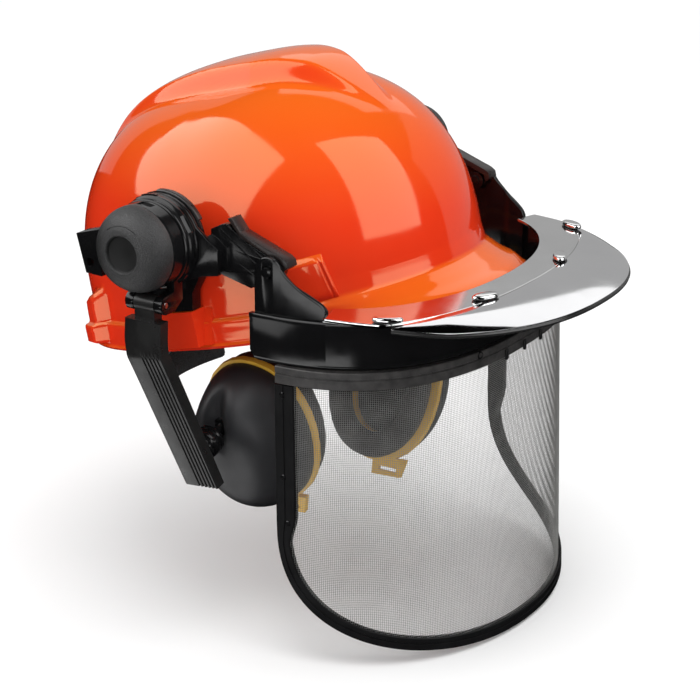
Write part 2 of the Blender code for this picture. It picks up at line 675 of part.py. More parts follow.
    def oval(ky, kz, n, N=28, e=2.15, dt=0.0, dy=0.0):
        pts = []
        for i in range(N):
            a = math.tau * i / N
            c_, s_ = math.cos(a), math.sin(a)
            yy = ky * math.copysign(abs(c_) ** (2 / e), c_)
            zz = kz * math.copysign(abs(s_) ** (2 / e), s_)
            ct, st = math.cos(CUP_TILT), math.sin(CUP_TILT)
            yy, zz = yy * ct - zz * -st * -1, yy * st + zz * ct
            pts.append(P(zz + dt, yy + dy, n))
        return pts
    rows = []
    for kk, n in ((1.0, 4.4), (1.0, 8.0), (0.975, 13.0), (0.93, 19.0), (0.865, 25.0), (0.76, 31.0), (0.60, 35.2), (0.34, 37.6)):
        rows.append(oval(CUP_HY * kk, CUP_HZ * kk, n))
    cup = sheet("ear_cup_" + tag, rows, 2.4, "grey_cup", closed_u=True, offset=1.0 if s < 0 else -1.0, pole=P(0, 0, 38.1))
    hole = cylinder("hole", 4.4, 25, 42, (0, 0), "Z", cutter=True, n=16, m=CL)
    cut(cup, hole)
    out["cup"] = cup
    plate = loft("cup_ring_" + tag, [oval(CUP_HY + 2, CUP_HZ + 2, 0.0), oval(CUP_HY + 2, CUP_HZ + 2, 4.0)], look="amber")
    cut(plate, loft("window", [oval(22, 31, -3.0), oval(22, 31, 8.0)], cutter=True))
    tabp = []
    for (y_, t_) in ((-13, -44), (11, -46), (10, -57), (-10, -56)):
        tabp.append((y_ - 9.0, t_))
    tab3 = loft("tab", [[P(t_, y_, n_) for y_, t_ in tabp] for n_ in (0.2, 3.8)], cutter=True)
    slotp = [(-16, -51), (-3, -51), (-3, -53.5), (-16, -53.5)]
    union(plate, tab3)
    cut(plate, loft("slot", [[P(t_, y_, n_) for y_, t_ in slotp] for n_ in (-2, 8)], cutter=True))
    out["plate"] = plate
    cush = loft("ear_cushion_" + tag, [oval(CUP_HY - 5, CUP_HZ - 5, -14.0), oval(CUP_HY - 1, CUP_HZ - 1, -10.5), oval(CUP_HY - 0.5, CUP_HZ - 0.5, -4.0),
                                       oval(CUP_HY - 3, CUP_HZ - 3, -0.3)], look="foam")
    cut(cush, loft("window", [oval(20, 29, -20.0), oval(20, 29, 3.0)], cutter=True))
    out["cushion"] = cush
    liner = loft("cup_liner_" + tag, [oval(27, 37, 5.0, N=24), oval(26, 35, 19.0, N=24)], look="foam")
    out["liner"] = liner
    # joint empties
    e_sw = empty("swing_axis_" + tag, (s * 120, 0, EAR_Z))
    e_fl = empty("flip_axis_" + tag, (s * FLIP_X, 0, FLIP_Z))
    e_sl = empty("slide_axis_" + tag, tuple(piv + d_s * low))
    e_ti = empty("tilt_axis_" + tag, tuple(piv + d_s * low + en * 37.0))
    carry(e_sw, out["ring"], out["cap"], out["flip_pin"], e_fl)
    carry(e_fl, out["arm"], e_sl)
    carry(e_sl, out["slider"], e_ti)
    carry(e_ti, out["cup"], out["plate"], out["cushion"], out["liner"])
    return out


for s, tag in ((-1, "right"), (1, "left")):
    ear(s, tag)

# ---- visor carriers ----------------------------------------------------------
vis_axis = empty("visor_axis", (0, VIS_Y, VIS_Z))
for s, tag in ((-1, "right"), (1, "left")):
    lo, hi, r = EAR_WASHER
    link_ = cylinder("visor_link_" + tag, r, s * lo, s * hi, (0, EAR_Z), look="black_gloss", n=32)
    root = [(-10, 90), (-20.6, 79.3), (-32, 70.5), (-38, 66.5), (-38, 52), (-27, 50), (-10, 43)]
    step = [(-27.6, 71.8), (-31.6, 69.6), (-37.4, 65.6), (-37.4, 53.2), (-27.6, 52.4)]
    block = [(-26.9, 74.5), (-35, 78.6), (-38.4, 78.8), (-46, 72.2), (-52, 69.8), (-72.6, 61.6), (-73.5, 57.9), (-70, 53.5), (-52.9, 45.2), (-26.9, 51.4)]
    union(link_, outline("root", root, s * 121.3, s * 124.3, "YZ", cutter=True))
    union(link_, union(outline("block", block, s * 109.5, s * 114.7, "YZ", cutter=True),
                       outline("step", step, s * 110.1, s * 122.9, "YZ", cutter=True)))
    cut(link_, cylinder("bore", 8.4, s * 118, s * 130, (0, EAR_Z), cutter=True, n=24),
        cylinder("bore", 3.4, s * 105, s * 118, (VIS_Y, VIS_Z), cutter=True, n=16),
        cylinder("bore", 2.4, s * 105, s * 112.2, (-42, 74), cutter=True, n=12))
    # release lever: strip along the top of the link, cheek on its inner side
    lev = outline("visor_lever_" + tag, [(-38.2, 82), (-39.4, 80.4), (-46, 73.1), (-52, 70.3), (-72.9, 62.0), (-74.2, 58.2), (-77.0, 60.4), (-76.2, 63.6),
                                          (-73.6, 65.4), (-52, 73.2), (-46.2, 75.4), (-40.6, 82.6)], s * 105.8, s * 114.7, "YZ", look="black_gloss")
    union(lev, outline("cheek", [(-38, 80), (-36.5, 74), (-39.5, 69.5), (-46, 68), (-56, 68.8), (-54, 71.6), (-46, 74.6), (-41, 81)], s * 105.8, s * 109.2, "YZ", cutter=True),
          cylinder("peg", 2.0, s * 107, s * 111.9, (-42, 74), cutter=True, n=12))
    carry(empty("lever_axis_" + tag, (s * 110, -42, 74)), lev)
    scr = union(cylinder("visor_pivot_" + tag, 3.0, s * 105.8, s * 120.4, (VIS_Y, VIS_Z), look="steel", n=16),
                cylinder("head", 5.4, s * 106.8, s * 109.2, (VIS_Y, VIS_Z), cutter=True, n=16))


# ---- visor and peak ----------------------------------------------------------
def sup(a, y0, b, n, t):
    """Point of a superellipse that opens to the rear; t from 0 to 180 degrees."""
    c, s = math.cos(t), math.sin(t)
    return (-a * math.copysign(abs(c) ** (2 / n), c), y0 - b * abs(s) ** (2 / n))


def polar(a, y0, b, n, ang, cy=-75.0):
    """Distance from (0, cy) to a superellipse along an angle below the X axis."""
    c, s = math.cos(ang), math.sin(ang)
    lo, hi = 0.0, 260.0
    for _ in range(44):
        r = (lo + hi) / 2
        x, y = abs(r * c), max(0.0, y0 - (cy - r * s))
        lo, hi = (r, hi) if (x / a) ** n + (y / b) ** n < 1 else (lo, r)
    return lo


def inner_r(a):
    return polar(112.0, -62.0, 84.0, 2.2, a)


def seam_r(a):
    return polar(140.0, -70.0, 94.0, 2.3, a)


def rim_r(a):
    return polar(121.0, -74.5, 131.3, 2.3, a)


def at(a, r, z):
    return (-r * math.cos(a), -75.0 - r * math.sin(a), z)


N_P = 33
angs = arc(12.6, 167.4, N_P)
rows = []
for k in (0.0, 0.5, 1.0):
    rows.append([at(a, inner_r(a) + (min(seam_r(a), rim_r(a)) - 0.4 - inner_r(a)) * k, PEAK_Z + 1.8 - 0.6 * k) for a in angs])
collar = sheet("peak_collar", rows, 2.0, "silver")
good = [a for a in arc(2, 178, 353) if rim_r(a) - seam_r(a) > 3.0]
angs2 = arc(math.degrees(good[0]), math.degrees(good[-1]), N_P)
rows = []
for k, dz in ((0.0, 1.2), (0.25, 1.9), (0.55, 1.4), (0.85, -0.6), (1.0, -2.4)):
    rows.append([at(a, seam_r(a) + (rim_r(a) - seam_r(a)) * k, PEAK_Z + dz * min(1.0, (rim_r(a) - seam_r(a)) / 20.0) + 0.0) for a in angs2])
peak = sheet("peak_outer", rows, 2.0, "chrome")
clips = []
for i, deg in enumerate((29, 62, 118, 151)):
    a = math.radians(deg)
    p = at(a, seam_r(a) - 3.5, 0)
    m = Matrix.Translation((p[0] * MM, p[1] * MM, 0)) @ Matrix.Rotation(a, 4, "Z")
    pts = [(4.0 * math.cos(t), 8.0 * math.sin(t)) for t in [math.tau * j / 16 for j in range(16)]]
    clips.append(outline("peak_clip_%d" % (i + 1), pts, PEAK_Z + 3.0, PEAK_Z + 5.2, "XY", "silver", m=m))

# brow frame: U-shaped wall under the collar; an ear plate rises from the inner side of each end
def brow_pt(t, z, off=0.0):
    return (*sup(BROW_A + off, BROW_Y, VIS_FRONT + BROW_Y - 1.6 + off, 2.5, t), z)


def brow_x(y):
    """Half width of the wall's middle surface at a given y."""
    q = min(1.0, max(0.0, (BROW_Y - y) / (VIS_FRONT + BROW_Y - 1.6)))
    return BROW_A * (1 - q ** 2.5) ** 0.4


BROW_A, BROW_Y = 119.8, -56.0
ts = [math.radians(d) for d in [0, 6, 12, 18] + list(range(24, 157, 6)) + [162, 168, 174, 180]]
rows = [[brow_pt(t, z) for t in ts] for z in (8.0, PEAK_Z - 2.0)]
brow = sheet("brow_frame", rows, 3.2, "black_gloss")
adds = []
for s in (-1, 1):
    tops = [(y, VIS_Z + math.sqrt(8.3 ** 2 - (y - VIS_Y) ** 2)) for y in (-58.25, -58.8, -60.2, -62.4, -65.0, -67.8, -70.4, -72.6, -74.2)]
    tops += [(-75.4, 58.0), (-76.8, 56.7), (-79.8, 54.3), (-85.5, 49.8), (-92.4, 45.6), (-96.5, 42.4), (-99.0, 38.6)]

    def in_x(y):
        return 115.2 + (brow_x(y) - 4.2 - 115.2) * smooth((-y - 81.0) / 7.0)
    ear_ = loft("ear", [[(s * in_x(y), y, 13.0), (s * (brow_x(y) - 0.5), y, 13.0), (s * (brow_x(y) - 0.5), y, z), (s * in_x(y), y, z)] for y, z in tops], cutter=True)
    adds.append(ear_)
    # rounded lower corner at the wall's end
    cor = [(BROW_Y + 1.0, 16.5)] + [(BROW_Y - 8.0 + 8.6 * math.cos(a), 16.4 - 8.6 * math.sin(a)) for a in arc(4, 88, 7)] + [(BROW_Y - 9.0, 6.0), (BROW_Y + 3.0, 6.0)]
    adds.append(outline("cor", cor, s * 110.0, s * 126.0, "YZ", cutter=True))
cor_ = [adds.pop(1), adds.pop(2)]
union(brow, *adds)
cut(brow, *cor_)
cut(brow, *[cylinder("bore", 3.4, s * 110, s * 125, (VIS_Y, VIS_Z), cutter=True, n=16) for s in (-1, 1)])


def vis_plan(u, z, off=0.0):
    """Point of the visor's sheet, u from 0 (wearer's right) to 1, height z."""
    k = (VIS_TOP - z) / (VIS_TOP - VIS_LOW)
    n = 2.45 - 0.35 * k
    fr = VIS_FRONT - 1.0 + VIS_LEAN * k
    lo = math.radians(4.0)
    t = lo + (math.pi - 2 * lo) * u
    y0 = VIS_SIDE_Y + 2.0
    b = fr + y0
    c, s = math.cos(t), math.sin(t)
    # even spacing of the superellipse's angle in its direction
    r = (abs(c) ** n + abs(s) ** n) ** (-1 / n)
    a = VIS_HW + 0.6
    return Vector((-(a + off) * r * c, y0 - (b + off) * r * s, z))


def vis_low(u):
    e = abs(2 * u - 1)
    return VIS_SIDE - (VIS_SIDE - VIS_LOW) * (1 - e ** 2.5) ** (1 / 2.5)


NU, NV = 37, 6
us = [0.5 - 0.5 * math.cos(math.pi * i / (NU - 1)) * 1.0 for i in range(NU)]
us = [0.022 + 0.956 * (0.55 * u + 0.45 * i / (NU - 1)) for i, u in enumerate(us)]
rows = []
for j in range(NV):
    row = []
    for u in us:
        z0, z1 = VIS_TOP, vis_low(u) + 3.4
        row.append(tuple(vis_plan(u, z0 + (z1 - z0) * j / (NV - 1))))
    rows.append(row)
mesh = sheet("visor_mesh", rows, 0.8, "mesh")

# top rail: channel over the sheet's upper edge
path = [i / 32 for i in range(33)]
rings = []
for u in path:
    p = vis_plan(u, 3.0)
    q = vis_plan(min(1, u + 0.004), 3.0) - vis_plan(max(0, u - 0.004), 3.0)
    nrm = Vector((q.y, -q.x, 0)).normalized()
    if nrm.dot(Vector((p.x, p.y + 60, 0))) < 0:
        nrm = -nrm
    sec = [(-3.6, 7.7), (3.4, 7.7), (3.4, -2.2), (1.0, -2.2), (1.0, 5.6), (-1.0, 5.6), (-1.0, -2.2), (-3.6, -2.2)]
    rings.append([tuple(p + nrm * a + Vector((0, 0, b - 3.0))) for a, b in sec])
rail = loft("visor_rail", rings, look="black_satin")

# edge binding: channel around the sides and the lower edge
edge = []
for k in range(5):
    edge.append((0.0, -3.2 + (VIS_SIDE + 3.2) * k / 4))
us2 = [0.5 - 0.5 * math.cos(math.pi * i / 44) for i in range(45)]
us2 = [0.8 * u + 0.2 * i / 44 for i, u in enumerate(us2)]
edge += [(u, vis_low(u)) for u in us2[1:-1]]
edge += [(1.0, z) for _, z in reversed(edge[:5])]
pts3 = [vis_plan(u, z) for u, z in edge]
rings = []
for i, ((u, z), p) in enumerate(zip(edge, pts3)):
    a = pts3[max(0, i - 1)]
    b = pts3[min(len(pts3) - 1, i + 1)]
    T = (b - a).normalized()
    side = smooth((z - (VIS_SIDE - 14)) / 18.0)
    wide = 0.028 * side
    du = vis_plan(min(1, u + 0.003 + (wide if u < 0.5 else 0)), z) - vis_plan(max(0, u - 0.003 - (wide if u > 0.5 else 0)), z)
    dz = vis_plan(u, z + 1.0) - vis_plan(u, z - 1.0)
    nrm = du.cross(dz).normalized()
    if nrm.dot(Vector((p.x, p.y + 60, 0))) < 0:
        nrm = -nrm
    B = nrm.cross(T).normalized()
    if B.dot(Vector((0, -130, -60)) - p) < 0:
        B = -B
    nrm = T.cross(B).normalized()
    if nrm.dot(Vector((p.x, p.y + 60, 0))) < 0:
        nrm = -nrm
    w = 6.0 + 4.2 * side
    sec = [(-1.6, -2.1), (w, -2.1), (w, -0.95), (0.6, -0.95), (0.6, 0.95), (w, 0.95), (w, 2.1), (-1.6, 2.1)]
    rings.append([tuple(p + B * a_ + nrm * b_) for a_, b_ in sec])
binding = loft("edge_binding", rings, look="black_satin")
carry(vis_axis, brow, collar, peak, mesh, rail, binding, *clips)
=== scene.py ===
"""Looks of the hard hat with mesh visor, mirror-finish peak and fold-out ear muffs.

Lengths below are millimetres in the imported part's frame unless a name says otherwise.
"""
import math
import bmesh
import bpy
from mathutils import Matrix, Vector, noise

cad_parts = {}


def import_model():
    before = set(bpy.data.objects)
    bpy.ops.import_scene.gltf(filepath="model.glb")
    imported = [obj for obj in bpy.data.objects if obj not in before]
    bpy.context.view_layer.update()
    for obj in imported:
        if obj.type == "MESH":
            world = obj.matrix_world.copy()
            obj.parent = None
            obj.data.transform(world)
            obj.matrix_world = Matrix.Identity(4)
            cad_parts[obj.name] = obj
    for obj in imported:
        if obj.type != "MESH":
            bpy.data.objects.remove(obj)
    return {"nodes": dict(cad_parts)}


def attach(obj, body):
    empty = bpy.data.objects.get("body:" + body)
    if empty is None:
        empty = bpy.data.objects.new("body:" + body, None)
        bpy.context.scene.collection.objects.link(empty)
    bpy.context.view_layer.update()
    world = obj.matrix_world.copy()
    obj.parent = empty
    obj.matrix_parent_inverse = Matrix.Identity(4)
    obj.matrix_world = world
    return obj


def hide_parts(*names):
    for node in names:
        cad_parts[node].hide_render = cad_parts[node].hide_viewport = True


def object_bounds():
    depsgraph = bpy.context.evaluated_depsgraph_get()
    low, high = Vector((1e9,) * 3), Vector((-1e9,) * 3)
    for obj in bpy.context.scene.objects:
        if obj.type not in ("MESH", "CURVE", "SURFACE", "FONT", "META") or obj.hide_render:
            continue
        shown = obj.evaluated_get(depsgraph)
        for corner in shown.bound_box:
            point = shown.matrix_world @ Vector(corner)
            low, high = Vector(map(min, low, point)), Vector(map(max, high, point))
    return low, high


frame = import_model()
CAD_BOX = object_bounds()
NODES = frame["nodes"]
MM = 0.001
PITCH = math.radians(13.0)


# ============================================================ materials
def new_mat(name):
    m = bpy.data.materials.new(name)
    m.use_nodes = True
    nt = m.node_tree
    b = nt.nodes["Principled BSDF"]
    return m, nt, b


def n(nt, kind, **kw):
    nd = nt.nodes.new(kind)
    for k, v in kw.items():
        if k in nd.inputs:
            nd.inputs[k].default_value = v
        else:
            setattr(nd, k, v)
    return nd


def coords(nt, scale=1.0):
    tc = nt.nodes.new("ShaderNodeTexCoord")
    mp = nt.nodes.new("ShaderNodeMapping")
    mp.inputs["Scale"].default_value = (scale, scale, scale) if not isinstance(scale, tuple) else scale
    nt.links.new(tc.outputs["Object"], mp.inputs["Vector"])
    return mp.outputs["Vector"]


def ramp(nt, fac, stops):
    r = nt.nodes.new("ShaderNodeValToRGB")
    el = r.color_ramp.elements
    while len(el) < len(stops):
        el.new(0.5)
    for e, (p, c) in zip(el, stops):
        e.position = p
        e.color = (*c, 1.0) if len(c) == 3 else c
    nt.links.new(fac, r.inputs["Fac"])
    return r.outputs["Color"]


def noise_fac(nt, vec, scale, detail=4.0, rough=0.55):
    t = n(nt, "ShaderNodeTexNoise")
    t.inputs["Scale"].default_value = scale
    t.inputs["Detail"].default_value = detail
    t.inputs["Roughness"].default_value = rough
    nt.links.new(vec, t.inputs["Vector"])
    return t.outputs["Fac"]


def to_range(nt, fac, lo, hi, a=0.3, b=0.7):
    mr = n(nt, "ShaderNodeMapRange")
    mr.inputs["From Min"].default_value = a
    mr.inputs["From Max"].default_value = b
    mr.inputs["To Min"].default_value = lo
    mr.inputs["To Max"].default_value = hi
    nt.links.new(fac, mr.inputs["Value"])
    return mr.outputs["Result"]


def bump(nt, b, height, strength, dist):
    bp = n(nt, "ShaderNodeBump")
    bp.inputs["Strength"].default_value = strength
    bp.inputs["Distance"].default_value = dist
    nt.links.new(height, bp.inputs["Height"])
    nt.links.new(bp.outputs["Normal"], b.inputs["Normal"])
    return bp


def plastic(name, dark, light, r_lo, r_hi, grain, strength, dist=0.0002, var=26.0, metal=0.0, coat=0.0, spec=0.5, detail=5.0):
    m, nt, b = new_mat(name)
    v = coords(nt)
    f = noise_fac(nt, v, var, 3.0)
    nt.links.new(ramp(nt, f, [(0.3, dark), (0.7, light)]), b.inputs["Base Color"])
    g = noise_fac(nt, v, grain, detail, 0.6)
    nt.links.new(to_range(nt, noise_fac(nt, v, var * 3.1, 4.0), r_lo, r_hi), b.inputs["Roughness"])
    bump(nt, b, g, strength, dist)
    b.inputs["Metallic"].default_value = metal
    b.inputs["Coat Weight"].default_value = coat
    b.inputs["Coat Roughness"].default_value = 0.04
    b.inputs["Specular IOR Level"].default_value = spec
    return m


def leather_grain(name, dark, light, r_lo, r_hi, cell=620.0, strength=0.5, dist=0.0005):
    m, nt, b = new_mat(name)
    v = coords(nt)
    vo = n(nt, "ShaderNodeTexVoronoi")
    vo.feature = "DISTANCE_TO_EDGE"
    vo.inputs["Scale"].default_value = cell
    wob = noise_fac(nt, v, cell * 0.5, 3.0)
    mx = n(nt, "ShaderNodeVectorMath")
    mx.operation = "MULTIPLY_ADD"
    tn = n(nt, "ShaderNodeTexNoise")
    tn.inputs["Scale"].default_value = cell * 0.7
    nt.links.new(v, tn.inputs["Vector"])
    mx.inputs[1].default_value = (0.0016, 0.0016, 0.0016)
    nt.links.new(tn.outputs["Color"], mx.inputs[0])
    nt.links.new(v, mx.inputs[2])
    nt.links.new(mx.outputs["Vector"], vo.inputs["Vector"])
    h = to_range(nt, vo.outputs["Distance"], 0.0, 1.0, 0.0, 0.22)
    nt.links.new(ramp(nt, h, [(0.0, dark), (0.8, light)]), b.inputs["Base Color"])
    nt.links.new(to_range(nt, wob, r_lo, r_hi), b.inputs["Roughness"])
    bump(nt, b, h, strength, dist)
    return m


def woven(name, dark, light, pitch, rough=0.75, strength=0.6):
    """Plain weave from two crossed sets of threads along the surface's own three directions."""
    m, nt, b = new_mat(name)
    v = coords(nt)
    waves = []
    for axis in ("X", "Y", "Z"):
        w = n(nt, "ShaderNodeTexWave")
        w.bands_direction = axis
        w.wave_profile = "SIN"
        w.inputs["Scale"].default_value = 0.314 / pitch
        w.inputs["Distortion"].default_value = 0.15
        nt.links.new(v, w.inputs["Vector"])
        waves.append(w.outputs["Fac"])
    a = n(nt, "ShaderNodeMath"); a.operation = "MULTIPLY"
    nt.links.new(waves[0], a.inputs[0]); nt.links.new(waves[2], a.inputs[1])
    c = n(nt, "ShaderNodeMath"); c.operation = "ADD"
    nt.links.new(a.outputs[0], c.inputs[0]); nt.links.new(waves[1], c.inputs[1])
    h = to_range(nt, c.outputs[0], 0.0, 1.0, 0.0, 1.8)
    nt.links.new(ramp(nt, h, [(0.1, dark), (0.9, light)]), b.inputs["Base Color"])
    nt.links.new(to_range(nt, h, rough, rough - 0.12, 0.0, 1.0), b.inputs["Roughness"])
    b.inputs["Sheen Weight"].default_value = 0.25
    b.inputs["Sheen Roughness"].default_value = 0.5
    bump(nt, b, h, strength, 0.0003)
    return m


MAT = {
    "orange": None,
    "gloss": plastic("black_gloss", (0.0035, 0.0035, 0.0038), (0.006, 0.006, 0.0065), 0.12, 0.22, 700, 0.05, 0.0001, var=30, spec=0.35),
    "satin": plastic("black_satin", (0.005, 0.005, 0.0055), (0.009, 0.009, 0.0095), 0.34, 0.46, 2600, 0.20, 0.0002, var=30),
    "arm": plastic("arm_satin", (0.007, 0.007, 0.007), (0.012, 0.0115, 0.0115), 0.26, 0.38, 3200, 0.25, 0.0002, var=40),
    "cup": plastic("cup_grey", (0.016, 0.016, 0.018), (0.023, 0.023, 0.026), 0.40, 0.52, 3800, 0.22, 0.0002, var=22),
    "cap": leather_grain("cap_grain", (0.012, 0.012, 0.012), (0.030, 0.030, 0.031), 0.34, 0.46, 1000.0, 0.42, 0.0003),
    "recess": plastic("cap_recess", (0.003, 0.003, 0.003), (0.006, 0.006, 0.006), 0.45, 0.6, 1800, 0.2, 0.0002),
    "amber": plastic("amber_ring", (0.66, 0.38, 0.04), (0.76, 0.46, 0.055), 0.30, 0.44, 1600, 0.10, 0.0002, var=30),
    "vinyl": leather_grain("cushion_vinyl", (0.010, 0.009, 0.009), (0.024, 0.020, 0.020), 0.38, 0.52, 420.0, 0.35, 0.0005),
    "foam": leather_grain("open_foam", (0.006, 0.006, 0.006), (0.032, 0.031, 0.030), 0.85, 0.95, 700.0, 0.9, 0.0008),
    "terry": leather_grain("pad_cloth", (0.020, 0.020, 0.021), (0.055, 0.055, 0.058), 0.80, 0.95, 900.0, 0.8, 0.0006),
    "webbing": woven("strap_webbing", (0.016, 0.016, 0.018), (0.060, 0.060, 0.066), 0.0011),
    "chrome": plastic("mirror_peak", (0.80, 0.80, 0.81), (0.85, 0.85, 0.86), 0.06, 0.11, 900, 0.012, 0.0001, var=18, metal=1.0),
    "silver": plastic("satin_silver", (0.80, 0.80, 0.80), (0.84, 0.84, 0.84), 0.10, 0.15, 1600, 0.02, 0.0001, var=22, metal=1.0),
    "rim": plastic("peak_rim", (0.010, 0.010, 0.010), (0.018, 0.018, 0.018), 0.15, 0.25, 900, 0.05, 0.0001),
    "wire": plastic("mesh_wire", (0.20, 0.20, 0.195), (0.30, 0.30, 0.29), 0.30, 0.42, 1200, 0.1, 0.0001, var=90, metal=0.3),
    "rubber": plastic("binding_rubber", (0.004, 0.004, 0.0045), (0.007, 0.007, 0.0075), 0.34, 0.48, 2200, 0.22, 0.0002, var=60, spec=0.15),
    "rail": plastic("worn_rail", (0.018, 0.017, 0.017), (0.042, 0.039, 0.038), 0.34, 0.6, 900, 0.25, 0.0002, var=170),
    "steel": plastic("plated_steel", (0.42, 0.42, 0.43), (0.52, 0.52, 0.53), 0.22, 0.34, 1200, 0.06, 0.0001, var=60, metal=1.0),
    "lever": plastic("lever_plastic", (0.012, 0.008, 0.0075), (0.022, 0.014, 0.013), 0.25, 0.35, 1800, 0.12, 0.0002, var=50),
    "clear_grey": plastic("collar_plastic", (0.50, 0.50, 0.51), (0.56, 0.56, 0.57), 0.20, 0.28, 1200, 0.05, 0.0001, var=30),
}


def orange_shell():
    """Glossy dyed polyethylene whose base colour carries painted light: red on the walls, turning orange where the
    surface faces up, as if lit from above, with a little random tone mixed in.
    """
    m, nt, b = new_mat("orange_shell")
    v = coords(nt)
    ge = n(nt, "ShaderNodeNewGeometry")
    sx = n(nt, "ShaderNodeSeparateXYZ")
    nt.links.new(ge.outputs["Normal"], sx.inputs[0])
    f = noise_fac(nt, v, 9.0, 2.0)
    painted_top_light_and_tone = n(nt, "ShaderNodeMath"); painted_top_light_and_tone.operation = "MULTIPLY_ADD"
    nt.links.new(f, painted_top_light_and_tone.inputs[0]); painted_top_light_and_tone.inputs[1].default_value = 0.12
    nt.links.new(sx.outputs["Z"], painted_top_light_and_tone.inputs[2])
    # painted light from above: the normal's height plus some noise picks red for sideways faces and orange for upward
    # faces
    k = to_range(nt, painted_top_light_and_tone.outputs[0], 0.0, 1.0, -0.15, 1.02)
    nt.links.new(ramp(nt, k, [(0.0, (0.66, 0.026, 0.009)), (0.45, (0.71, 0.038, 0.009)), (1.0, (0.74, 0.118, 0.009))]), b.inputs["Base Color"])
    nt.links.new(to_range(nt, noise_fac(nt, v, 40.0, 4.0), 0.05, 0.11), b.inputs["Roughness"])
    bump(nt, b, noise_fac(nt, v, 850.0, 4.0), 0.010, 0.0001)
    b.inputs["Specular IOR Level"].default_value = 0.72
    b.inputs["Specular Tint"].default_value = (1.0, 0.86, 0.50, 1.0)
    return m


MAT["orange"] = orange_shell()


# ============================================================ mesh helpers
COL = bpy.data.collections.new("visual")
bpy.context.scene.collection.children.link(COL)


def to_row(p):
    x, y, z = p
    c, s = math.cos(PITCH), math.sin(PITCH)
    return (x, y * c + z * s, z * c - y * s)


SHELL_M = Matrix.Rotation(-PITCH, 4, "X")
AXES = {"X": Matrix.Rotation(math.radians(90), 4, "Y"),
        "Y": Matrix.Rotation(math.radians(-90), 4, "X"),
        "Z": Matrix.Identity(4)}


def smooth(t):
    t = max(0.0, min(1.0, t))
    return t * t * (3 - 2 * t)


def arc(a, b, k):
    return [math.radians(a + (b - a) * i / (k - 1)) for i in range(k)]


def obj(name, bm, mat=None, ang=35, sharp=True):
    me = bpy.data.meshes.new(name)
    bm.to_mesh(me)
    bm.free()
    ob = bpy.data.objects.new(name, me)
    COL.objects.link(ob)
    if mat:
        me.materials.append(MAT[mat])
    me.shade_smooth()
    if sharp:
        me.set_sharp_from_angle(angle=math.radians(ang))
    return ob


def bake(ob):
    bpy.context.view_layer.update()
    dg = bpy.context.evaluated_depsgraph_get()
    me = bpy.data.meshes.new_from_object(ob.evaluated_get(dg))
    old = ob.data
    ob.modifiers.clear()
    ob.data = me
    me.name = ob.name
    bpy.data.meshes.remove(old)
    return ob


def box(name, lo, hi, m=None, mat=None):
    bm = bmesh.new()
    bmesh.ops.create_cube(bm, size=1.0)
    bmesh.ops.scale(bm, vec=[abs(b - a) * MM for a, b in zip(lo, hi)], verts=bm.verts)
    bmesh.ops.translate(bm, vec=[(a + b) / 2 * MM for a, b in zip(lo, hi)], verts=bm.verts)
    if m is not None:
        bmesh.ops.transform(bm, matrix=m, verts=bm.verts)
    bmesh.ops.recalc_face_normals(bm, faces=bm.faces)
    return obj(name, bm, mat)


def cylinder(name, r, a, b, at, axis="X", m=None, mat=None, k=32, r2=None):
    bm = bmesh.new()
    bmesh.ops.create_cone(bm, cap_ends=True, segments=k, radius1=r * MM, radius2=(r if r2 is None else r2) * MM,
                          depth=abs(b - a) * MM)
    bmesh.ops.transform(bm, matrix=AXES[axis], verts=bm.verts)
    mid = (a + b) / 2
    pos = {"X": (mid, at[0], at[1]), "Y": (at[0], mid, at[1]), "Z": (at[0], at[1], mid)}[axis]
    bmesh.ops.translate(bm, vec=[v * MM for v in pos], verts=bm.verts)
    if m is not None:
        bmesh.ops.transform(bm, matrix=m, verts=bm.verts)
    bmesh.ops.recalc_face_normals(bm, faces=bm.faces)
    return obj(name, bm, mat)


def turned(name, prof, m, mat=None, k=96, ang=30):
    """Closed turned body: profile of (radius, height) about local Z."""
    bm = bmesh.new()
    rings = []
    for r, z in prof:
        if r < 0.001:
            rings.append([bm.verts.new((0, 0, z * MM))])
        else:
            rings.append([bm.verts.new((r * math.cos(math.tau * i / k) * MM, r * math.sin(math.tau * i / k) * MM, z * MM))
                          for i in range(k)])
    closed = prof[0][0] > 0.001 and prof[-1][0] > 0.001
    pairs = list(zip(rings, rings[1:])) + ([(rings[-1], rings[0])] if closed else [])
    for a, b in pairs:
        for i in range(k):
            j = (i + 1) % k
            if len(a) == 1 and len(b) == 1:
                continue
            if len(a) == 1:
                bm.faces.new((a[0], b[i], b[j]))
            elif len(b) == 1:
                bm.faces.new((a[i], b[0], a[j]))
            else:
                bm.faces.new((a[i], b[i], b[j], a[j]))
    bmesh.ops.transform(bm, matrix=m, verts=bm.verts)
    bmesh.ops.recalc_face_normals(bm, faces=bm.faces)
    return obj(name, bm, mat, ang)


def outline(name, pts, a, b, plane="YZ", m=None, mat=None):
    """Flat outline in a plane, extruded from a to b."""
    bm = bmesh.new()
    base = {"YZ": lambda u, v, w: (w, u, v), "XZ": lambda u, v, w: (u, w, v), "XY": lambda u, v, w: (u, v, w)}[plane]
    lo = [bm.verts.new([c * MM for c in base(u, v, a)]) for u, v in pts]
    hi = [bm.verts.new([c * MM for c in base(u, v, b)]) for u, v in pts]
    k = len(pts)
    bm.faces.new(lo[::-1]); bm.faces.new(hi)
    for i in range(k):
        bm.faces.new((lo[i], lo[(i + 1) % k], hi[(i + 1) % k], hi[i]))
    if m is not None:
        bmesh.ops.transform(bm, matrix=m, verts=bm.verts)
    bmesh.ops.recalc_face_normals(bm, faces=bm.faces)
    return obj(name, bm, mat)


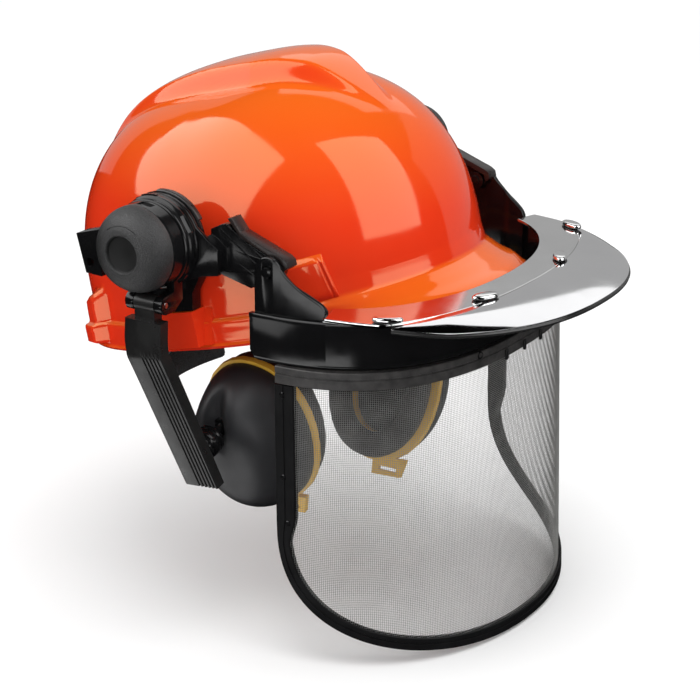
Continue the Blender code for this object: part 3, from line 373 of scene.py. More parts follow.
def loft(name, rings, mat=None, close=False, m=None, ang=35):
    bm = bmesh.new()
    vs = [[bm.verts.new([c * MM for c in p]) for p in r] for r in rings]
    k = len(rings[0])
    pairs = list(zip(vs, vs[1:])) + ([(vs[-1], vs[0])] if close else [])
    for a, b in pairs:
        for i in range(k):
            j = (i + 1) % k
            bm.faces.new((a[i], a[j], b[j], b[i]))
    if not close:
        bm.faces.new(list(reversed(vs[0])))
        bm.faces.new(vs[-1])
    if m is not None:
        bmesh.ops.transform(bm, matrix=m, verts=bm.verts)
    bmesh.ops.recalc_face_normals(bm, faces=bm.faces)
    return obj(name, bm, mat, ang)


def sheet(name, rows, thick, mat=None, closed_u=False, pole=None, m=None, offset=0.0, ang=35):
    bm = bmesh.new()
    vs = [[bm.verts.new([c * MM for c in p]) for p in r] for r in rows]
    k = len(rows[0])
    for a, b in zip(vs, vs[1:]):
        for i in range(k if closed_u else k - 1):
            j = (i + 1) % k
            bm.faces.new((a[i], a[j], b[j], b[i]))
    if pole is not None:
        p = bm.verts.new([c * MM for c in pole])
        for i in range(k if closed_u else k - 1):
            bm.faces.new((vs[-1][i], vs[-1][(i + 1) % k], p))
    if m is not None:
        bmesh.ops.transform(bm, matrix=m, verts=bm.verts)
    ob = obj(name, bm, None, ang, sharp=False)
    so = ob.modifiers.new("wall", "SOLIDIFY")
    so.thickness, so.offset, so.use_even_offset = thick * MM, offset, True
    bake(ob)
    bm = bmesh.new(); bm.from_mesh(ob.data)
    bmesh.ops.recalc_face_normals(bm, faces=bm.faces)
    bm.to_mesh(ob.data); bm.free()
    if mat:
        ob.data.materials.clear(); ob.data.materials.append(MAT[mat])
    ob.data.shade_smooth(); ob.data.set_sharp_from_angle(angle=math.radians(ang))
    return ob


def combine(ob, others, op):
    for o in others:
        mod = ob.modifiers.new(op.lower(), "BOOLEAN")
        mod.operation, mod.object, mod.solver = op, o, "EXACT"
        bake(ob)
        bpy.data.objects.remove(o, do_unlink=True)
    return ob


def union(ob, *o):
    return combine(ob, o, "UNION")


def cut(ob, *o):
    return combine(ob, o, "DIFFERENCE")


def bevel(ob, w=0.5, seg=2, ang=32, mat=None, clean=True):
    """Round the sharp edges of a finished solid."""
    if clean:
        bm = bmesh.new(); bm.from_mesh(ob.data)
        bmesh.ops.remove_doubles(bm, verts=bm.verts, dist=0.000004)
        bmesh.ops.dissolve_limit(bm, angle_limit=math.radians(1.5), verts=bm.verts, edges=bm.edges)
        bm.to_mesh(ob.data); bm.free()
    mod = ob.modifiers.new("edge", "BEVEL")
    mod.width, mod.segments, mod.limit_method, mod.angle_limit = w * MM, seg, "ANGLE", math.radians(ang)
    mod.use_clamp_overlap, mod.harden_normals = True, False
    bake(ob)
    if mat:
        ob.data.materials.clear(); ob.data.materials.append(MAT[mat])
        for f in ob.data.polygons:
            f.material_index = 0
    ob.data.shade_smooth(); ob.data.set_sharp_from_angle(angle=math.radians(40))
    return ob


def from_cad(node, mat, w=0.5, seg=2, suffix="_v", ang=32):
    """A rounded copy of a CAD node, with its own finish."""
    src = NODES[node]
    bm = bmesh.new(); bm.from_mesh(src.data)
    me = bpy.data.meshes.new(node + suffix)
    bm.to_mesh(me); bm.free()
    me.materials.clear()
    ob = bpy.data.objects.new(node + suffix, me)
    COL.objects.link(ob)
    if w > 0:
        bevel(ob, w, seg, ang)
    ob.data.materials.clear(); ob.data.materials.append(MAT[mat])
    for f in ob.data.polygons:
        f.material_index = 0
    ob.data.shade_smooth(); ob.data.set_sharp_from_angle(angle=math.radians(40))
    return ob


def place(ob, body, *nodes, slot=None):
    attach(ob, body)
    if nodes:
        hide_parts(*nodes)
    return ob


def catmull(pts, seg):
    out = []
    for i in range(len(pts) - 1):
        p0, p1, p2, p3 = pts[max(0, i - 1)], pts[i], pts[i + 1], pts[min(len(pts) - 1, i + 2)]
        for k in range(seg):
            t = k / seg
            out.append(tuple(0.5 * (2 * b + (c - a) * t + (2 * a - 5 * b + 4 * c - d) * t * t + (3 * b - a - 3 * c + d) * t ** 3)
                             for a, b, c, d in zip(p0, p1, p2, p3)))
    out.append(tuple(pts[-1]))
    return out


# ============================================================ camera
az, el = math.radians(-57.53), math.radians(19.511)
back = Vector((math.sin(az) * math.cos(el), -math.cos(az) * math.cos(el), math.sin(el)))
right = Vector((math.cos(az), math.sin(az), 0))
up = back.cross(right)
M = Matrix((right, up, back)).transposed().to_4x4()
M.translation = (back * 1263.157 + right * 36.273 + up * (-32.296)) / 1000
cam = bpy.data.objects.new("camera", bpy.data.cameras.new("camera"))
bpy.context.scene.collection.objects.link(cam)
cam.matrix_world = M
cam.data.sensor_width = 36.0
cam.data.lens = 2100.659 * 36.0 / 700.0
cam.data.clip_end = 60.0
bpy.context.scene.camera = cam

# ============================================================ shell
PLAN_N, HW, FRONT, REAR = 2.2, 106.0, 123.0, 116.0
BAND_H, DOME_H, DOME_N, WALL, BRIM_TIP, CREST_H = 26.0, 112.0, 2.38, 2.4, 150.0, 12.0


def plan_r(th):
    c, s = math.cos(th), math.sin(th)
    b = FRONT if s < 0 else REAR
    return (abs(c / HW) ** PLAN_N + abs(s / b) ** PLAN_N) ** (-1 / PLAN_N)


def brim_r(th):
    c, s = math.cos(th), math.sin(th)
    if s >= -0.05:
        return 0.0
    lo, hi = 0.0, 200.0
    for _ in range(40):
        r = (lo + hi) / 2
        x, y = abs(r * c), -(r * s) - 35.0
        f = (x / 101.0) ** 2.1 + (max(y, 0.0) / (BRIM_TIP - 35.0)) ** 2.1
        lo, hi = (r, hi) if f < 1 else (lo, r)
    return lo


def crest(x, y):
    w = 5.0 + 29.0 * max(0.0, min(1.0, (y + 98.0) / 70.0)) ** 0.8
    h = CREST_H * smooth((y + 98.0) / 42.0) * (1 - 0.7 * smooth((y + 10.0) / 110.0))
    h *= 1 - smooth((y - 70.0) / 40.0)
    return h * smooth((w - abs(x)) / 7.5 + 0.30)


def rear_drop(y):
    return 3.6 * smooth((y + 50.0) / 50.0) * (1.0 - smooth((y - 12.0) / 60.0))


def relief(th, z):
    """Moulded rear lug that stands out of the shell's wall, mm."""
    t = th if th >= 0 else th + math.tau
    d = math.degrees(t)
    if d > 270 or d < 90:
        d = (540 - d) if d > 180 else (180 - d)
    out = 0.0
    # rear lug: wedge with a ridge and a slanted top
    if 120 < d < 165 and z < 40:
        s = (d - 143.0) * 1.95
        top_ = 33.0 - z + 0.25 * s
        prof = 7.8 * min(1.0, max(0.0, (9.5 - abs(s)) / 3.6)) if s > -3 else 7.8 * smooth((9.5 + s) / 5.0)
        out = max(out, prof * smooth(top_ / 5.0) * smooth((z - 1.0) / 2.0))
    return out


def section(e, f, k):
    """Profile from the rim's edge up to the dome; returns (offset, height) lists."""
    S = [(5.0, -0.5), (4.1, 0.5), (3.6, 1.8), (3.5, 6.0), (3.3, 12.4), (0.9, 13.9), (0.15, 15.2), (0.0, 20.0), (-0.4, BAND_H)]
    ee = max(e, 5.0)
    B = [(ee, -0.5), (ee - 2.0, 1.5), (ee * 0.76, 4.7), (ee * 0.5, 8.0), (ee * 0.27 + 0.8, 11.2), (ee * 0.09 + 1.4, 13.9),
         (0.9, 16.4), (0.2, 20.0), (-0.4, BAND_H)]
    c = [tuple(a + (b - a) * f for a, b in zip(s_, b_)) for s_, b_ in zip(S, B)]
    return catmull(c, k)


NU = 640
ths = [math.tau * i / NU for i in range(NU)]
KS = 5
cols = []
for th in ths:
    r = plan_r(th)
    e = brim_r(th) - r
    f = smooth((e - 2.0) / 14.0)
    pts = []
    for off, z in section(e, f, KS):
        rr = r + off + relief(th, z) * (1 - f * 0.0) * (1.0 if off < 12 else 0.0)
        pts.append(to_row((rr * math.cos(th), rr * math.sin(th), z)))
    nph = 128
    for i in range(1, nph):
        ph = 90.0 * (1 - i / nph) ** 1.0
        k = math.sin(math.radians(ph)) ** (2 / DOME_N)
        zz = BAND_H + DOME_H * math.cos(math.radians(ph)) ** (2 / DOME_N)
        rr = r * k - 0.4 + relief(th, zz)
        x, y = rr * math.cos(th), rr * math.sin(th)
        c = crest(x, y)
        u = math.cos(math.radians(ph))
        pts.append(to_row((x, y * (1 + c / DOME_H * 0.6 * (1 - u)), zz + c * (0.3 + 0.7 * u) - rear_drop(y) * u)))
    cols.append(pts)
rows = [[c[j] for c in cols] for j in range(len(cols[0]))]
top = to_row((0, 0, BAND_H + DOME_H + crest(0, 0) - rear_drop(0)))
shell = sheet("shell_v", rows, WALL, "orange", closed_u=True, pole=top, offset=-1.0, ang=50)
place(shell, "helmet", "shell", slot="orange_shell")


def wall_r(th, z):
    """Outer radius of the plain wall above the rim band."""
    r = plan_r(th)
    if z <= BAND_H:
        return r - 0.4 * smooth((z - 14.0) / 12.0)
    q = min(1.0, (z - BAND_H) / DOME_H) ** (DOME_N / 2)
    k = math.sqrt(max(0.0, 1 - q * q)) ** (2 / DOME_N)
    return r * k - 0.4


for s in (-1, 1):
    tag = "right" if s < 0 else "left"
    FR = [(0.0, -0.6), (0.35, 0.9), (0.8, 1.9), (1.2, 2.5), (1.7, 3.1), (2.2, 3.15), (2.7, 2.6), (3.1, 2.0), (3.5, 2.0), (3.9, 2.6), (4.4, 2.8), (5.0, 2.6), (6.0, 2.5), (9.0, 2.5),
          (12.0, 2.5), (15.0, 2.5), (18.0, 2.5), (21.0, 2.4), (24.0, 2.2), (27.0, 1.6), (30.0, 0.6), (31.5, -0.6)]
    TP = [(0.0, -0.6), (0.5, 0.2), (1.5, 0.9), (3.0, 1.9), (4.2, 2.8), (4.7, 3.2), (5.4, 3.3), (6.2, 3.3), (8.0, 3.3), (11.0, 3.3), (14.0, 3.3), (17.0, 3.3), (20.0, 3.1), (23.0, 2.4),
          (25.5, 1.2), (27.0, -0.6)]
    rows_ = []
    for t_, ht in TP:
        row = []
        for f_, hf in FR:
            th0 = 227.4
            z = 41.4 - t_ - 0.06 * f_
            d_ = th0 + (41.4 - z) * 0.105 - f_ * 0.535
            th = math.radians(d_ if s < 0 else 540.0 - d_)
            rr = wall_r(th, z) + min(ht, hf)
            row.append(to_row((rr * math.cos(th), rr * math.sin(th), z)))
        rows_.append(row)
    pn = sheet("shell_panel_" + tag, rows_, 1.6, None, offset=-1.0 if s < 0 else 1.0, ang=60)
    mod = pn.modifiers.new("round", "SUBSURF"); mod.levels = mod.render_levels = 1
    bake(pn)
    pn.data.materials.clear(); pn.data.materials.append(MAT["orange"])
    pn.data.shade_smooth()
    place(pn, "helmet", slot="orange_shell")
# sockets for the ear muffs' feet
for s in (-1, 1):
    tag = "right" if s < 0 else "left"
    sock = box("shell_socket_" + tag, (s * 103.0, -19.5, 1.2), (s * 117, 9, 21.7), m=SHELL_M)
    cut(sock, box("slot", (s * 109.5, -15.2, 6), (s * 113.5, 5.2, 40), m=SHELL_M))
    rib = outline("rib", [(s * 103, 1.2), (s * 112, 1.2), (s * 105, 21)], -24.5, -19.0, "XZ", m=SHELL_M)
    rib2 = outline("rib", [(s * 103, 1.2), (s * 112, 1.2), (s * 105, 21)], 8.5, 13.5, "XZ", m=SHELL_M)
    union(sock, rib, rib2)
    bevel(sock, 0.8, 3, 30, "orange")
    place(sock, "helmet", slot="orange_shell")

# ============================================================ suspension (under the shell)
for nm in ("headband", "crown_rivet", "nape_tail_left", "nape_tail_right", "ratchet_pinion",
           *["strap_key_%d" % i for i in range(1, 7)]):
    body = {"nape_tail_left": "nape_left", "nape_tail_right": "nape_right", "ratchet_pinion": "nape_knob"}.get(nm, "helmet")
    place(from_cad(nm, "satin", 0.35 if nm != "ratchet_pinion" else 0.15), body, nm, slot="black_satin")
place(from_cad("ratchet_housing", "gloss", 0.9, 3), "helmet", "ratchet_housing", slot="black_gloss")

HB_R, HB_CY, HB_FRONT = 76.0, 17.0, 112.0


def band_pt(th, off=0.0):
    c, s = math.cos(th), math.sin(th)
    if s >= 0:
        r = HB_R + off
    else:
        r = (abs(c / (HB_R + off)) ** 2.1 + abs(s / (HB_FRONT + off)) ** 2.1) ** (-1 / 2.1)
    return r * c, HB_CY + r * s


def band_z(th):
    s = math.sin(th)
    bk, fr = smooth(s / 0.8), smooth(-s)
    return -3.0 - 33.0 * bk - 6.0 * fr, 18.0 - 12.0 * bk + 5.0 * fr


def pad_strip(name, a, b, off, thick, zf, mat, body, node, cnt, dz=(0, 0), stitch=True):
    """Padded band: crowned section, pinched ends and a sewn hem along both long edges."""
    rings = []
    sec = 28
    for i, th in enumerate(arc(a, b, cnt)):
        u = i / (cnt - 1)
        pinch = min(1.0, math.sin(math.pi * min(max(u, 0.0), 1.0)) * 7.0 + 0.22) ** 0.5
        lo, hi = zf(th)
        lo, hi = lo + dz[0], hi + dz[1]
        mid, half = (lo + hi) / 2, (hi - lo) / 2
        ripple = 0.16 * math.sin(i * 1.9) + 0.12 * math.sin(i * 0.7 + 1.0)
        ring = []
        for k in range(sec):
            t = math.tau * k / sec
            c, s_ = math.cos(t), math.sin(t)
            zz = half * math.copysign(abs(s_) ** 0.75, s_) * (0.90 + 0.10 * pinch)
            hem = 1.0 - 0.55 * smooth((abs(zz) / half - 0.78) / 0.10) * (1 - smooth((abs(zz) / half - 0.92) / 0.06))
            nn = (thick / 2 + (ripple if c < 0 else 0)) * math.copysign(abs(c) ** 0.8, c) * pinch * hem
            x, y = band_pt(th, off + nn)
            ring.append(to_row((x, y, mid + zz)))
        rings.append(ring)
    ob = loft(name, rings, mat, ang=60)
    place(ob, body, node, slot="foam")
    return ob


pad_strip("brow_pad_v", -22, -158, -2.6, 3.0, band_z, "terry", "helmet", "brow_pad", 120, dz=(1.5, -1.5))
pad_strip("nape_pad_v", 66, 114, -5.2, 4.0, lambda th: (-43.0, -15.0), "terry", "helmet", "nape_pad", 60)


def wall_in(th, z):
    return plan_r(th) - WALL - 0.6 - 0.01 * max(0.0, z - 16) ** 1.5


AZ = [(0, 180), (-55, 125), (-125, 55)]
for layer, pair in enumerate(AZ):
    W = 9.0
    topz = 98.0 + 2.2 * layer
    path = []
    for end, deg in enumerate(pair):
        a_ = math.radians(deg)
        rim = wall_in(a_, 20) - 7.2
        seq = [(rim, 13.0), (rim, 19.0)] + [
            (rim * math.sin(math.radians(p)) ** (2 / 2.5), 24.0 + (topz - 24.0) * math.cos(math.radians(p)) ** (2 / 2.5))
            for p in (84, 74, 62, 50, 38, 26, 14)]
        pts = [(rho * math.cos(a_), rho * math.sin(a_), z) for rho, z in seq]
        path += pts if end == 0 else [(0.0, 0.0, topz)] + pts[::-1]
    path = catmull(path, 5)
    az0 = math.radians(pair[0])
    nv = Vector((-math.sin(az0), math.cos(az0), 0))
    rings = []
    for i, p in enumerate(path):
        p = Vector(p)
        q0, q1 = Vector(path[max(0, i - 1)]), Vector(path[min(len(path) - 1, i + 1)])
        T = (q1 - q0).normalized()
        N = T.cross(nv).normalized()
        ring = []
        for w_, h_ in ((-W, -0.25), (-W + 0.4, -0.55), (-W + 2.0, -0.42), (0, -0.5), (W - 2.0, -0.42), (W - 0.4, -0.55), (W, -0.25),
                       (W, 0.25), (W - 0.4, 0.55), (W - 2.0, 0.42), (0, 0.5), (-W + 2.0, 0.42), (-W + 0.4, 0.55), (-W, 0.25)):
            ring.append(to_row(tuple(p + nv * w_ + N * h_)))
        rings.append(ring)
    st = loft("crown_strap_%s_v" % "abc"[layer], rings, "webbing", ang=60)
    cut(st, cylinder("hole", 2.3, 80, 125, (0, 0), "Z", m=SHELL_M, k=24))
    place(st, "helmet", "crown_strap_" + "abc"[layer], slot="webbing")

KN_Z = -29.0
m_knob = SHELL_M @ Matrix.Translation((0, 0, KN_Z * MM)) @ Matrix.Rotation(math.radians(-90), 4, "X")
bm = bmesh.new()
K = 120
prof = [(3.0, 113.0), (9.0, 113.0), (11.0, 112.7), (13.6, 112.0), (15.2, 111.0), (16.2, 109.6), (16.9, 107.0), (17.0, 104.2), (16.4, 102.8), (14.5, 101.6), (3.0, 101.6)]
rings = []
for r_, z_ in prof:
    ring = []
    for i in range(K):
        a_ = math.tau * i / K
        g = 0.45 * (0.5 + 0.5 * math.cos(a_ * 20)) if r_ > 14 else 0.0
        ring.append(bm.verts.new(((r_ - g) * math.cos(a_) * MM, (r_ - g) * math.sin(a_) * MM, z_ * MM)))
    rings.append(ring)
for a_, b_ in list(zip(rings, rings[1:])) + [(rings[-1], rings[0])]:
    for i in range(K):
        bm.faces.new((a_[i], b_[i], b_[(i + 1) % K], a_[(i + 1) % K]))
bmesh.ops.transform(bm, matrix=m_knob, verts=bm.verts)
bmesh.ops.recalc_face_normals(bm, faces=bm.faces)
place(obj("ratchet_knob_v", bm, "satin", 50), "nape_knob", "ratchet_knob", slot="black_satin")

# ============================================================ ear muffs
EAR_Z = 66.5
FLIP_X, FLIP_Z = 141.0, 36.0
ARM_TOP, ARM_END = (145.0, -3.5, 10.0), (121.0, -24.0, -74.0)
CUP_C, CUP_ROLL, CUP_TILT = (66.0, -27.0, -56.0), math.radians(16.0), math.radians(5.0)
CUP_HY, CUP_HZ = 35.5, 46.5
PIVOT_T, PIVOT_Y, SLIDE = 18.5, 6.0, 15.0

for s, tag in ((-1, "right"), (1, "left")):
    head, armb, cupb = "ear_head_" + tag, "ear_arm_" + tag, "ear_cup_" + tag
    place(from_cad("ear_adapter_" + tag, "gloss", 0.8, 3), "helmet", "ear_adapter_" + tag, slot="black_gloss")
    # brown release tab behind the ring
    tab = [(27.0 * math.cos(math.radians(d)), EAR_Z + 27.0 * math.sin(math.radians(d))) for d in range(78, 152, 4)]
    tab += [(20.0 * math.cos(math.radians(d)), EAR_Z + 20.0 * math.sin(math.radians(d))) for d in range(150, 76, -6)]
    tb = outline("ear_release_tab_" + tag, tab, s * 116.2, s * 120.4)
    bevel(tb, 0.9, 3, 30, "lever")
    place(tb, "helmet", slot="black_gloss")
    place(from_cad("ear_pivot_pin_" + tag, "steel", 0.5), "helmet", "ear_pivot_pin_" + tag, slot="steel")
    # swing ring: stepped stack with notches
    m = Matrix.Translation((0, 0, EAR_Z * MM)) @ Matrix.Rotation(math.radians(90 * s), 4, "Y")
    ring = turned("swing_ring_%s_v" % tag, [(8.4, 134.0), (23.4, 134.0), (24.6, 133.4), (24.8, 131.6), (24.2, 131.2), (24.2, 130.6), (25.4, 130.2),
                                            (26.0, 129.4), (26.0, 127.4), (25.2, 127.0), (25.2, 126.4), (26.0, 126.0), (26.0, 125.2), (25.4, 124.6),
                                            (8.4, 124.6)], m, None, 128)
    lug = [(s * 126.5, 50), (s * 133.9, 50), (s * 133.9, 42.0), (s * 137, 41.6)]
    lug += [(s * (FLIP_X + 5.2 * math.cos(a)), FLIP_Z + 5.2 * math.sin(a)) for a in [math.radians(d) for d in range(80, -101, -12)]]
    lug += [(s * 133.9, 31.0), (s * 126.5, 36.0)]
    union(ring, outline("lug", lug, -15.6, -10.6, "XZ"), outline("lug", lug, 3.6, 8.6, "XZ"))
    cut(ring, cylinder("bore", 2.2, -20, 12, (s * FLIP_X, FLIP_Z), "Y", k=24))
    for d in (52, 148, 205):
        mm_ = Matrix.Translation((0, 0, EAR_Z * MM)) @ Matrix.Rotation(math.radians(d - 90), 4, "X")
        cut(ring, box("notch", (s * 127.2, -5, 24.6), (s * 131.4, 5, 30), m=mm_))
    for k_ in range(5):
        mm_ = Matrix.Translation((0, 0, EAR_Z * MM)) @ Matrix.Rotation(math.radians(-(-2 + 4.6 * k_)), 4, "X")
        union(ring, box("tooth", (s * 127.6, -0.7, 25.4), (s * 129.6, 0.7, 26.7), m=mm_))
    bevel(ring, 0.28, 2, 35, "gloss", clean=False)
    place(ring, head, "swing_ring_" + tag, slot="black_gloss")
    # domed cap with grained face, round recess and a fine arc
    cap = turned("pivot_cap_%s_v" % tag, [(0, 156.9), (8.6, 156.9), (9.5, 157.1), (10.1, 158.2), (10.6, 159.0), (11.4, 159.0), (13.5, 158.6), (16.0, 157.6), (18.6, 156.0),
                                          (20.8, 153.9), (22.4, 151.3), (23.4, 148.5), (23.9, 146.0), (24.0, 144.4), (23.5, 143.9), (23.5, 143.2),
                                          (24.0, 142.8), (24.0, 135.0), (23.6, 134.3), (12.8, 134.3), (12.8, 141.5), (0, 141.5)], m, None, 128, 25)
    for a0 in (40, 95, 325):
        mm_ = Matrix.Translation((0, 0, EAR_Z * MM)) @ Matrix.Rotation(math.radians(a0 - 90), 4, "X")
        cut(cap, box("notch", (s * 136.4, -4.5, 22.9), (s * 141.6, 4.5, 28), m=mm_))
    cap.data.materials.clear()
    for k_ in ("cap", "recess", "gloss"):
        cap.data.materials.append(MAT[k_])
    for f in cap.data.polygons:
        c = f.center * 1000
        rr = math.hypot(c.y, c.z - EAR_Z)
        f.material_index = 1 if rr < 10.0 and abs(c.x) > 150 else (2 if abs(c.x) < 143.6 else 0)
    cap.data.shade_smooth(); cap.data.set_sharp_from_angle(angle=math.radians(28))
    place(cap, head, "pivot_cap_" + tag, slot="black_satin")
    cu = bpy.data.curves.new("cap_arc_" + tag, "CURVE")
    cu.dimensions, cu.bevel_depth, cu.bevel_resolution, cu.use_fill_caps = "3D", 0.00028, 2, True
    sp = cu.splines.new("POLY"); sp.points.add(23)
    for q, d in zip(sp.points, [52 + 76 * i / 23 for i in range(24)]):
        q.co = (s * 157.62 * MM, 15.6 * math.cos(math.radians(d)) * MM, (EAR_Z + 15.6 * math.sin(math.radians(d))) * MM, 1)
    ar = bpy.data.objects.new("cap_arc_" + tag, cu)
    COL.objects.link(ar); cu.materials.append(MAT["gloss"])
    place(ar, head, slot="black_gloss")
    place(from_cad("flip_pin_" + tag, "steel", 0.25), head, "flip_pin_" + tag, slot="steel")
    # arm: smooth rear half, grooved front half
    d = Vector([b - a for a, b in zip(ARM_TOP, ARM_END)]).normalized()
    w = (Vector((0, 1, 0)) - d * d.y).normalized()
    path = [((143.6, -3.5, 27.0), 24.6, 7.6, 0), ((144.6, -3.5, 15.0), 24.8, 7.8, 0), ((144.6, -4.2, 7.0), 24.8, 7.8, 0.5),
            (tuple(Vector(ARM_TOP) + d * 12), 24.6, 7.8, 1), (ARM_END, 23.0, 7.0, 1)]
    ctrl = [(*c, ww, tt, k) for c, ww, tt, k in path]
    dense = []
    for i in range(len(ctrl) - 1):
        steps = (3, 6, 8, 14)[i]
        for j in range(steps):
            t = j / steps
            dense.append(tuple(a + (b - a) * t for a, b in zip(ctrl[i], ctrl[i + 1])))
    dense.append(ctrl[-1])
    sm = []
    for i, v in enumerate(dense):      # soften the bend at the shoulder
        a, b = dense[max(0, i - 1)], dense[min(len(dense) - 1, i + 1)]
        sm.append(v if i in (0, len(dense) - 1) else tuple((x + 2 * y + z) / 4 for x, y, z in zip(a, v, b)))
    rings = []
    for i, (cx, cy, cz, ww, tt, k) in enumerate(sm):
        wv = Vector((0, 1, 0)).lerp(w, k).normalized()
        tv = Vector((1, 0, 0)).lerp(d.cross(w).normalized() * (1 if d.cross(w).x > 0 else -1), k).normalized()
        groove = smooth((i - 6) / 6.0)
        h, t2 = ww / 2, tt / 2
        sec = [(-h + 0.5, -t2), (h - 0.5, -t2), (h, -t2 + 0.5), (h, t2 - 1.3), (h - 0.4, t2 - 0.5), (h - 1.3, t2)]
        sec += [(2.2, t2)]
        for g in range(5):
            w0 = 1.4 - g * 2.55
            sec += [(w0, t2), (w0 - 0.45, t2 - 0.85 * groove), (w0 - 0.95, t2 - 0.85 * groove), (w0 - 1.4, t2)]
        sec += [(-h + 0.6, t2), (-h, t2 - 0.6), (-h, -t2 + 0.5)]
        ringp = []
        for a, b in sec:
            q = Vector((cx, cy, cz)) + wv * a + tv * b
            if i == len(sm) - 1:
                q -= d * (1.5 + 1.5 * a / h)
            ringp.append((s * q.x, q.y, q.z))
        rings.append(ringp)
    arm = loft("muff_arm_%s_v" % tag, rings, None, ang=40)
    union(arm, box("neck", (s * 138.4, -10.2, 24), (s * 145, 3.2, 36)), cylinder("barrel", 5.0, -10.2, 3.2, (s * FLIP_X, FLIP_Z), "Y"))
    cut(arm, cylinder("bore", 2.2, -20, 12, (s * FLIP_X, FLIP_Z), "Y", k=24))
    et = Vector((s * math.sin(CUP_ROLL), 0, math.cos(CUP_ROLL)))
    en = Vector((s * math.cos(CUP_ROLL), 0, -math.sin(CUP_ROLL)))
    d_s = Vector((s * d.x, d.y, d.z))
    low = SLIDE if tag == "left" else 0.0
    base = Vector((s * CUP_C[0], CUP_C[1], CUP_C[2]))
    cc = base + d_s * low
    piv = base + et * PIVOT_T + Vector((0, 1, 0)) * PIVOT_Y
    C = Matrix.Identity(4)
    wy = (Vector((0, 1, 0)) - d_s * d_s.y).normalized()
    for i in range(3):
        C[i][0], C[i][1], C[i][2], C[i][3] = d_s[i], wy[i], en[i], piv[i] * MM
    cut(arm, box("channel", (-7, -3.6, 40), (SLIDE + 7, 3.6, 58.6), m=C))
    arm.data.materials.clear(); arm.data.materials.append(MAT["arm"])
    for f in arm.data.polygons:
        f.material_index = 0
    arm.data.shade_smooth(); arm.data.set_sharp_from_angle(angle=math.radians(30))
    place(arm, armb, "muff_arm_" + tag, slot="black_satin")
    # thin spring strap behind the arm's rear edge
    lf = []
    for i in range(25):
        t = i / 24
        q = Vector(ARM_TOP) + d * (6 + 40 * t) + w * (12.4 + 2.6 * math.sin(math.pi * t) - (1.4 if t > 0.97 else 0)) 
        tv = d.cross(w).normalized() * (1 if d.cross(w).x > 0 else -1)
        q = q - tv * 2.6
        lf.append([tuple((s * v.x, v.y, v.z)) for v in (q - w * 3.2 - tv * 0.6, q + w * 0.5 - tv * 0.6, q + w * 0.5 + tv * 0.6, q - w * 3.2 + tv * 0.6)])
    leaf = loft("arm_strap_" + tag, lf, "satin", ang=40)
    place(leaf, armb, slot="black_satin")

    CL = C.copy()
    for i in range(3):
        CL[i][3] += d_s[i] * low * MM
    prof = [(0, 58.0), (2.6, 58.0), (3.0, 57.6), (3.0, 53.4), (7.8, 53.2), (8.4, 52.7), (8.6, 51.4), (7.7, 50.0), (7.6, 49.4), (8.6, 48.6), (8.8, 47.8), (8.8, 45.0), (8.6, 44.2),
            (7.7, 43.5), (7.6, 43.0), (8.5, 42.2), (8.4, 40.9), (7.9, 40.4), (3.0, 40.2), (3.0, 31.0), (5.6, 30.4), (5.6, 28.8), (0, 28.8)]
    place(turned("cup_slider_%s_v" % tag, prof, CL, "gloss", 72, 35), "ear_slider_" + tag, "cup_slider_" + tag, slot="black_gloss")

    def P(t, y, nn):
        return tuple(cc + et * t + Vector((0, 1, 0)) * y + en * nn)

    def oval(ky, kz, nn, N=28, e=2.15):
        pts = []
        ct, st_ = math.cos(CUP_TILT), math.sin(CUP_TILT)
        for i in range(N):
            a = math.tau * i / N
            c_, s_ = math.cos(a), math.sin(a)
            yy = ky * math.copysign(abs(c_) ** (2 / e), c_)
            zz = kz * math.copysign(abs(s_) ** (2 / e), s_)
            yy, zz = yy * ct + zz * st_ * (-1 if s > 9 else -1) * -1 * -1, yy * st_ + zz * ct
            pts.append((zz, yy, nn))
        return pts

    def cupsurf(kk, nn, N, e=2.15):
        out = []
        for (t_, y_, _) in oval(CUP_HY * kk, CUP_HZ * kk, nn, N, e):
            # valley above the pivot between the rear lobe and the front lobe
            vy = 7.5 + 0.05 * (t_ - 18)
            dep = 8.0 * math.exp(-((y_ - vy) / 6.5) ** 2) * smooth((t_ - 6.0) / 16.0) * smooth((1.02 - kk) / 0.3)
            lobe = 2.4 * math.exp(-(((y_ - 24) / 12) ** 2 + ((t_ - 16) / 20) ** 2)) * smooth((1.0 - kk) / 0.2)
            out.append(P(t_, y_, nn - dep * (nn - 4) / 34 + lobe))
        return out
    prof = [(1.0, 4.4), (1.0, 6.5), (0.998, 9.0), (0.985, 12.0), (0.965, 15.0), (0.94, 18.2), (0.905, 21.8), (0.865, 25.0), (0.82, 28.0), (0.76, 31.0), (0.69, 33.4),
            (0.61, 35.1), (0.52, 36.3), (0.42, 37.1), (0.31, 37.6), (0.20, 37.85), (0.09, 38.0)]
    if s > 0:
        pass
    rows = [cupsurf(kk, nn, 144) for kk, nn in prof]
    pole = cupsurf(0.001, 38.05, 4)[0]
    cup = sheet("ear_cup_%s_v" % tag, rows, 2.4, None, closed_u=True, pole=pole, offset=1.0 if s < 0 else -1.0, ang=50)
    cut(cup, cylinder("hole", 4.4, 22, 46, (0, 0), "Z", m=CL, k=40))
    cup.data.materials.clear(); cup.data.materials.append(MAT["cup"])
    for f in cup.data.polygons:
        f.material_index = 0
    cup.data.shade_smooth(); cup.data.set_sharp_from_angle(angle=math.radians(45))
    place(cup, cupb, "ear_cup_" + tag, slot="cup_grey")
    place(from_cad("cup_ring_" + tag, "amber", 0.7, 3), cupb, "cup_ring_" + tag, slot="amber")

